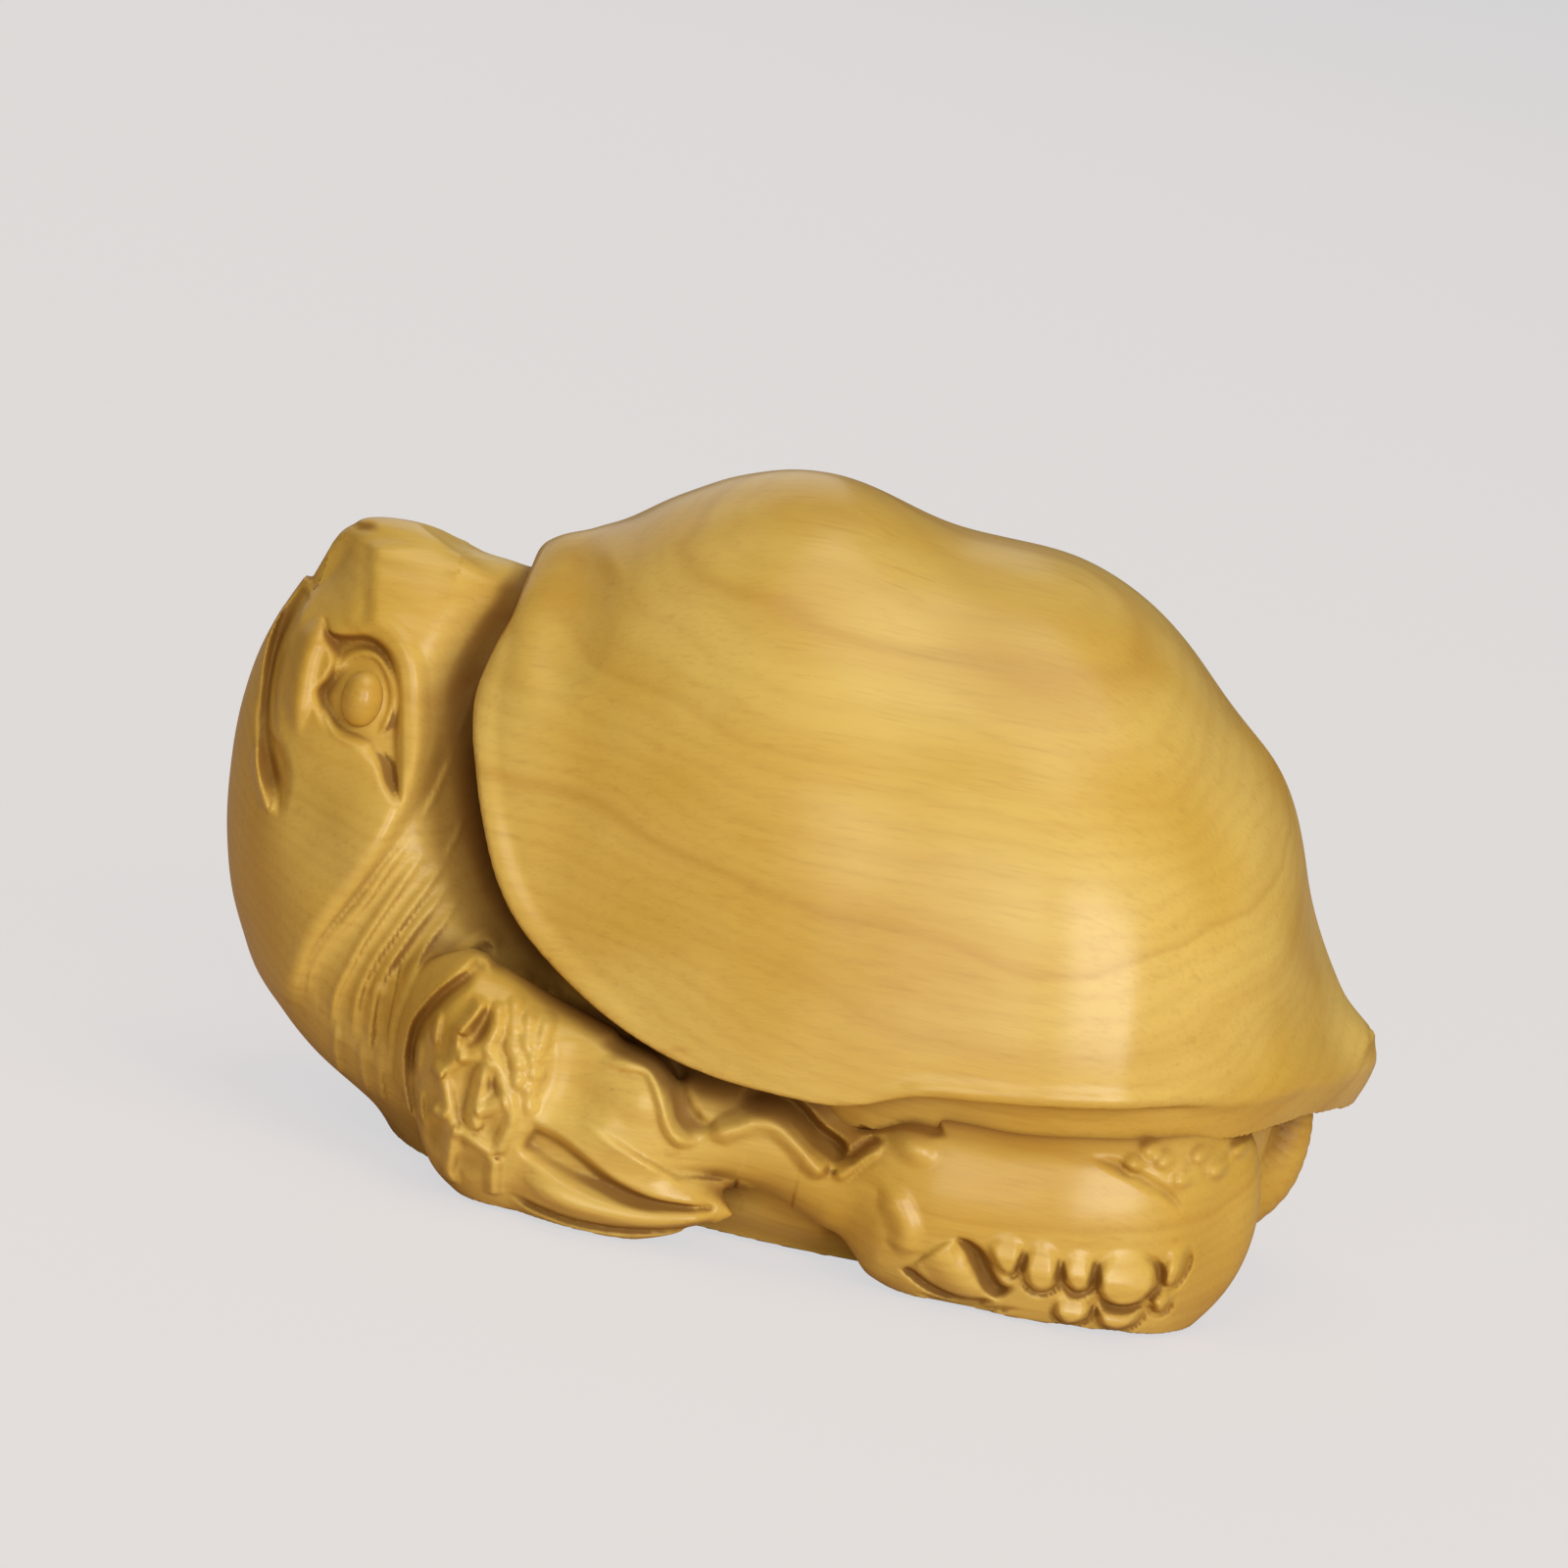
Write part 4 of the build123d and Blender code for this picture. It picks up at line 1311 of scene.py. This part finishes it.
tone = wood.tint(clouds.between(0.36, 0.66), PALE_WOOD, RIPE_WOOD)
tone = wood.tint(rings, tone, RING_LINE)
tone = wood.tint(dashes.between(0.60, 0.80) * 0.22, tone, STREAK)
tone = wood.tint(fibres.between(0.46, 0.74) * 0.16, tone, STREAK)
tone = wood.tint(threads.between(0.48, 0.72) * 0.10, tone, WORN)
# Painted shade with patina: the wood turns brown where the surface sits in hollows and grooves, where
# shade falls
tone = wood.tint(hollow.between(0.14, 0.85) * 0.72, tone, SHADE_AND_PATINA)
grain = fibres * 0.5 + threads * 0.35 + tooled * 1.6 + rings * 0.4
bump = wood.node("ShaderNodeBump", {}, {"Strength": 0.35, "Distance": 0.06 * MM, "Height": grain})
wood.fill(surface, {
    "Base Color": tone,
    "Roughness": 0.48 + fibres * 0.10 + hollow.between(0.1, 0.6) * 0.15,
    "Coat Weight": 0.9 - hollow.between(0.05, 0.5) * 0.75,
    "Coat Roughness": 0.24,
    "Coat IOR": 1.45,
    "Specular IOR Level": 0.3,
    "Subsurface Weight": 0.08,
    "Subsurface Radius": (1.0, 0.55, 0.2),
    "Subsurface Scale": 0.8 * MM,
    "Normal": bump.outputs[0],
})

# The pieces

# Boxes that hold the skin, the shell and the left eyeball, and the cell size of each
SKIN_BOX = ((-27, -19, -0.5), (24, 19, 28))
SHELL_BOX = ((-18, -19, 4), (27, 19, 33))
EYE_BOX = ((-22, -7, 17), (-19, -4, 21))
SKIN_CELL = 0.14
SHELL_CELL = 0.24
EYE_CELL = 0.09

# Faces this far inside the other surface are left out
HIDDEN_DEPTH = 0.8
# How much the carved grooves add to the painted shade and patina in the hollows, and the share of it on
# the eyeballs
GROOVE_SHADE_AND_PATINA = 1.3
EYE_SHADE_AND_PATINA = 0.5

# Line in the side view that parts the head from the neck
JAW_LINE = ((-15.0, 18.4), (-22.6, 4.6))


def past_jaw(x, z):
    """Distance past the line between head and neck, negative on the head's side."""
    (x0, z0), (x1, z1) = JAW_LINE
    size = math.hypot(x1 - x0, z1 - z0)
    return ((z - z0) * (x1 - x0) - (x - x0) * (z1 - z0)) / size


def surface_of(form, box, cell, other, grooves=None):
    """Points, faces, directions and hollowness of a surface, without what the other hides."""
    points, faces = carve(form, *box, cell, True, other)
    faces = faces[other(*points[faces].mean(1).T) > -HIDDEN_DEPTH]
    used, number = np.unique(faces, return_inverse=True)
    points, faces = points[used], number.reshape(faces.shape)
    normals = normals_at(form, points)
    hollow = hollows(normals, points)
    if grooves:
        # Carved grooves deepen the painted shade and patina
        hollow = hollow + GROOVE_SHADE_AND_PATINA * grooves.at(points[:, 0], points[:, 2])
    return points, faces, normals, hollow


skin = surface_of(skin_form, SKIN_BOX, SKIN_CELL, shell, skin_grooves)
cx, cy, cz = skin[0][skin[1]].mean(1).T
jaw = past_jaw(cx, cz)
left = cy < 0

# Every face of the skin belongs to the form that it lies nearest to. In these outlines in the
# side view, and this far from the middle, faces of the legs belong to scales, claws and fringe.
FOREARM_SCALES = [
    (-14.2, 9.2), (-9.0, 9.0), (-9.2, 4.5), (-10.5, 3.6), (-10.6, 0.3), (-13.5, 0.3),
    (-14.9, 3.0), (-15.0, 6.0),
]
FRONT_CLAWS = [
    (-8.6, 5.0), (-5.6, 4.8), (-1.9, 2.7), (-0.3, 2.3), (-0.3, 0.6), (-3.0, 0.05), (-7.5, 0.05),
    (-9.5, 0.5), (-10.2, 1.0), (-10.2, 3.5),
]
FRINGE = [
    (9.4, 3.4), (13.0, 4.1), (16.0, 4.4), (18.2, 5.2), (19.4, 4.2), (19.0, 0.05), (13.4, 0.05),
    (13.2, 1.2), (11.4, 1.2), (10.0, 2.4),
]
REAR_CLAWS = [
    (6.0, 1.1), (6.9, 1.1), (8.5, 3.3), (9.3, 3.1), (10.0, 2.3), (11.4, 1.1), (13.2, 1.1),
    (13.3, 0.05), (5.4, 0.05),
]
OUTER_SIDE = 9.5

owner = np.array(list(SKIN_FORMS), object)[np.array(skin_forms(cx, cy, cz)).argmin(0)]
outer_side = np.abs(cy) > OUTER_SIDE
for part, taken_from, outline in [
    ("forearm_scales", ["front_leg"], FOREARM_SCALES),
    ("front_claws", ["front_leg", "forearm_scales"], FRONT_CLAWS),
    ("fringe", ["rear_leg"], FRINGE),
    ("rear_claws", ["rear_leg", "fringe"], REAR_CLAWS),
]:
    takes = outer_side & within(outline, cx, cz)
    owner[takes & np.isin(owner, taken_from)] = part

for name, node, chosen in [
    ("body_block", "body", owner == "body"),
    ("head_with_beak", "head", (owner == "head_and_neck") & (jaw < 0)),
    ("wrinkled_neck", "neck", (owner == "head_and_neck") & (jaw >= 0)),
    ("front_leg_left", "front_left_leg", (owner == "front_leg") & left),
    ("front_leg_right", "front_right_leg", (owner == "front_leg") & ~left),
    ("rear_leg_left", "rear_left_leg", (owner == "rear_leg") & left),
    ("rear_leg_right", "rear_right_leg", (owner == "rear_leg") & ~left),
    ("flank_fold_left", "left_flank_fold", (owner == "flank_fold") & left),
    ("flank_fold_right", "right_flank_fold", (owner == "flank_fold") & ~left),
    ("forearm_scales_left", "front_left_scales", (owner == "forearm_scales") & left),
    ("tail_tucked", "tail", owner == "tail"),
    ("forearm_scales_right", "front_right_scales", (owner == "forearm_scales") & ~left),
    ("front_claws_left", "front_left_claws", (owner == "front_claws") & left),
    ("front_claws_right", "front_right_claws", (owner == "front_claws") & ~left),
    ("fringe_lobes_left", "rear_left_scales", (owner == "fringe") & left),
    ("fringe_lobes_right", "rear_right_scales", (owner == "fringe") & ~left),
    ("rear_claws_left", "rear_left_claws", (owner == "rear_claws") & left),
    ("rear_claws_right", "rear_right_claws", (owner == "rear_claws") & ~left),
]:
    place_part(name, node, skin, chosen)

casing = surface_of(shell, SHELL_BOX, SHELL_CELL, skin_form)
dome_gap, band_gap = shell_forms(*casing[0][casing[1]].mean(1).T)
place_part("carapace_dome", "carapace", casing, dome_gap <= band_gap)
place_part("marginal_band_strip", "marginal_band", casing, dome_gap > band_gap)

# Left eyeball: its middle and its half sizes
EYE = (-20.55, 5.75, 19.0)
EYE_SIZES = (0.9, 1.15, 1.25)


def eye_form(x, y, z):
    """Both eyeballs, one on either side."""
    along, across, up = [
        (place - middle) / size
        for place, middle, size in zip((x, np.abs(y), z), EYE, EYE_SIZES)
    ]
    return (np.sqrt(along**2 + across**2 + up**2) - 1) * EYE_SIZES[0]


points, faces = carve(eye_form, *EYE_BOX, EYE_CELL, False)
normals = normals_at(eye_form, points)
# Painted shade and patina on the eyeballs where they sit in the socket
eye_shade_and_patina = hollows(normals, points) * EYE_SHADE_AND_PATINA
place_pair("eyeball_{}", "{}_eye", points, faces, normals, eye_shade_and_patina)

# Camera, at the photo's angle: it is rolled, looks down a little and sees the left flank

ROLL = math.radians(11.2)
RISE = math.radians(10.0)
AIM = Vector((-1.94, 0.0, 17.92)) * MM
CAMERA_FAR = 0.40
FIELD_WIDTH = 68.8 * MM
SENSOR_WIDTH = 36.0

scene = bpy.context.scene
ahead = Vector((0, math.cos(RISE), -math.sin(RISE)))
level_up = Vector((0, math.sin(RISE), math.cos(RISE)))
right = Vector((1, 0, 0)) * math.cos(ROLL) + level_up * math.sin(ROLL)
up = Vector((-1, 0, 0)) * math.sin(ROLL) + level_up * math.cos(ROLL)
lens = bpy.data.cameras.new("camera")
lens.sensor_width = SENSOR_WIDTH
lens.lens = SENSOR_WIDTH * CAMERA_FAR / FIELD_WIDTH
lens.clip_start = 0.01
camera = bpy.data.objects.new("camera", lens)
turned = Matrix((right, up, -ahead)).transposed().to_4x4()
camera.matrix_world = Matrix.Translation(AIM - ahead * CAMERA_FAR) @ turned
scene.collection.objects.link(camera)
scene.camera = camera

# Light: two windows in front, a soft one above and a weak one behind

LIT_MIDDLE = (0, 0, 0.014)


def softbox(name, place, size, power, colour):
    """A lamp with a flat face that looks at the middle of the carving."""
    lamp = bpy.data.lights.new(name, "AREA")
    lamp.shape = "RECTANGLE"
    lamp.size, lamp.size_y = size
    lamp.energy = power
    lamp.color = colour
    holder = bpy.data.objects.new(name, lamp)
    holder.location = place
    looks = Vector(LIT_MIDDLE) - Vector(place)
    holder.rotation_euler = looks.to_track_quat("-Z", "Y").to_euler()
    scene.collection.objects.link(holder)


softbox("window_wide", (0.0, -0.470, 0.185), (0.23, 0.37), 0.66, (1.0, 0.95, 0.89))
softbox("window_narrow", (0.275, -0.395, 0.175), (0.17, 0.33), 1.02, (1.0, 0.97, 0.93))
softbox("top", (0.08, -0.05, 0.60), (0.45, 0.45), 1.05, (1.0, 0.96, 0.90))
softbox("back_fill", (-0.20, 0.50, 0.30), (0.50, 0.40), 0.40, (1.0, 0.96, 0.90))

WARM_AIR = (1.0, 0.72, 0.48, 1)
AIR_STRENGTH = 0.15
world = bpy.data.worlds.new("studio")
scene.world = world
world.use_nodes = True
air = Graph(world.node_tree)
backdrop = world.node_tree.nodes["Background"]
air.fill(backdrop, {"Color": WARM_AIR, "Strength": AIR_STRENGTH})
scene.view_settings.view_transform = "Standard"

# Ground: it throws warm light back on the carving, but looks pale to the camera

FLOOR_HALF = 2
FLOOR_GAP = 0.2 * MM
WARM_FLOOR = (0.62, 0.45, 0.30, 1)
PALE_FLOOR = (0.92, 0.93, 0.95, 1.0)
PALE_SHARE = 0.68

floor_mesh = bpy.data.meshes.new("floor")
corners = [(-1, -1), (1, -1), (1, 1), (-1, 1)]
floor_points = [(x * FLOOR_HALF, y * FLOOR_HALF, 0) for x, y in corners]
floor_mesh.from_pydata(floor_points, [], [(0, 1, 2, 3)])
floor = bpy.data.objects.new("floor", floor_mesh)
scene.collection.objects.link(floor)
floor.location.z = -FLOOR_GAP
pale = bpy.data.materials.new("pale floor")
pale.use_nodes = True
ground = Graph(pale.node_tree)
matt = pale.node_tree.nodes["Principled BSDF"]
ground.fill(matt, {"Base Color": WARM_FLOOR, "Roughness": 0.8})
glow = ground.node("ShaderNodeEmission", {}, {"Color": PALE_FLOOR, "Strength": 1.0})
seen = ground.value("ShaderNodeLightPath", {}, {}, "Is Camera Ray")
shares = {0: seen * PALE_SHARE, 1: matt.outputs[0], 2: glow.outputs[0]}
mixed = ground.node("ShaderNodeMixShader", {}, shares)
ground.fill(pale.node_tree.nodes["Material Output"], {"Surface": mixed.outputs[0]})
floor_mesh.materials.append(pale)
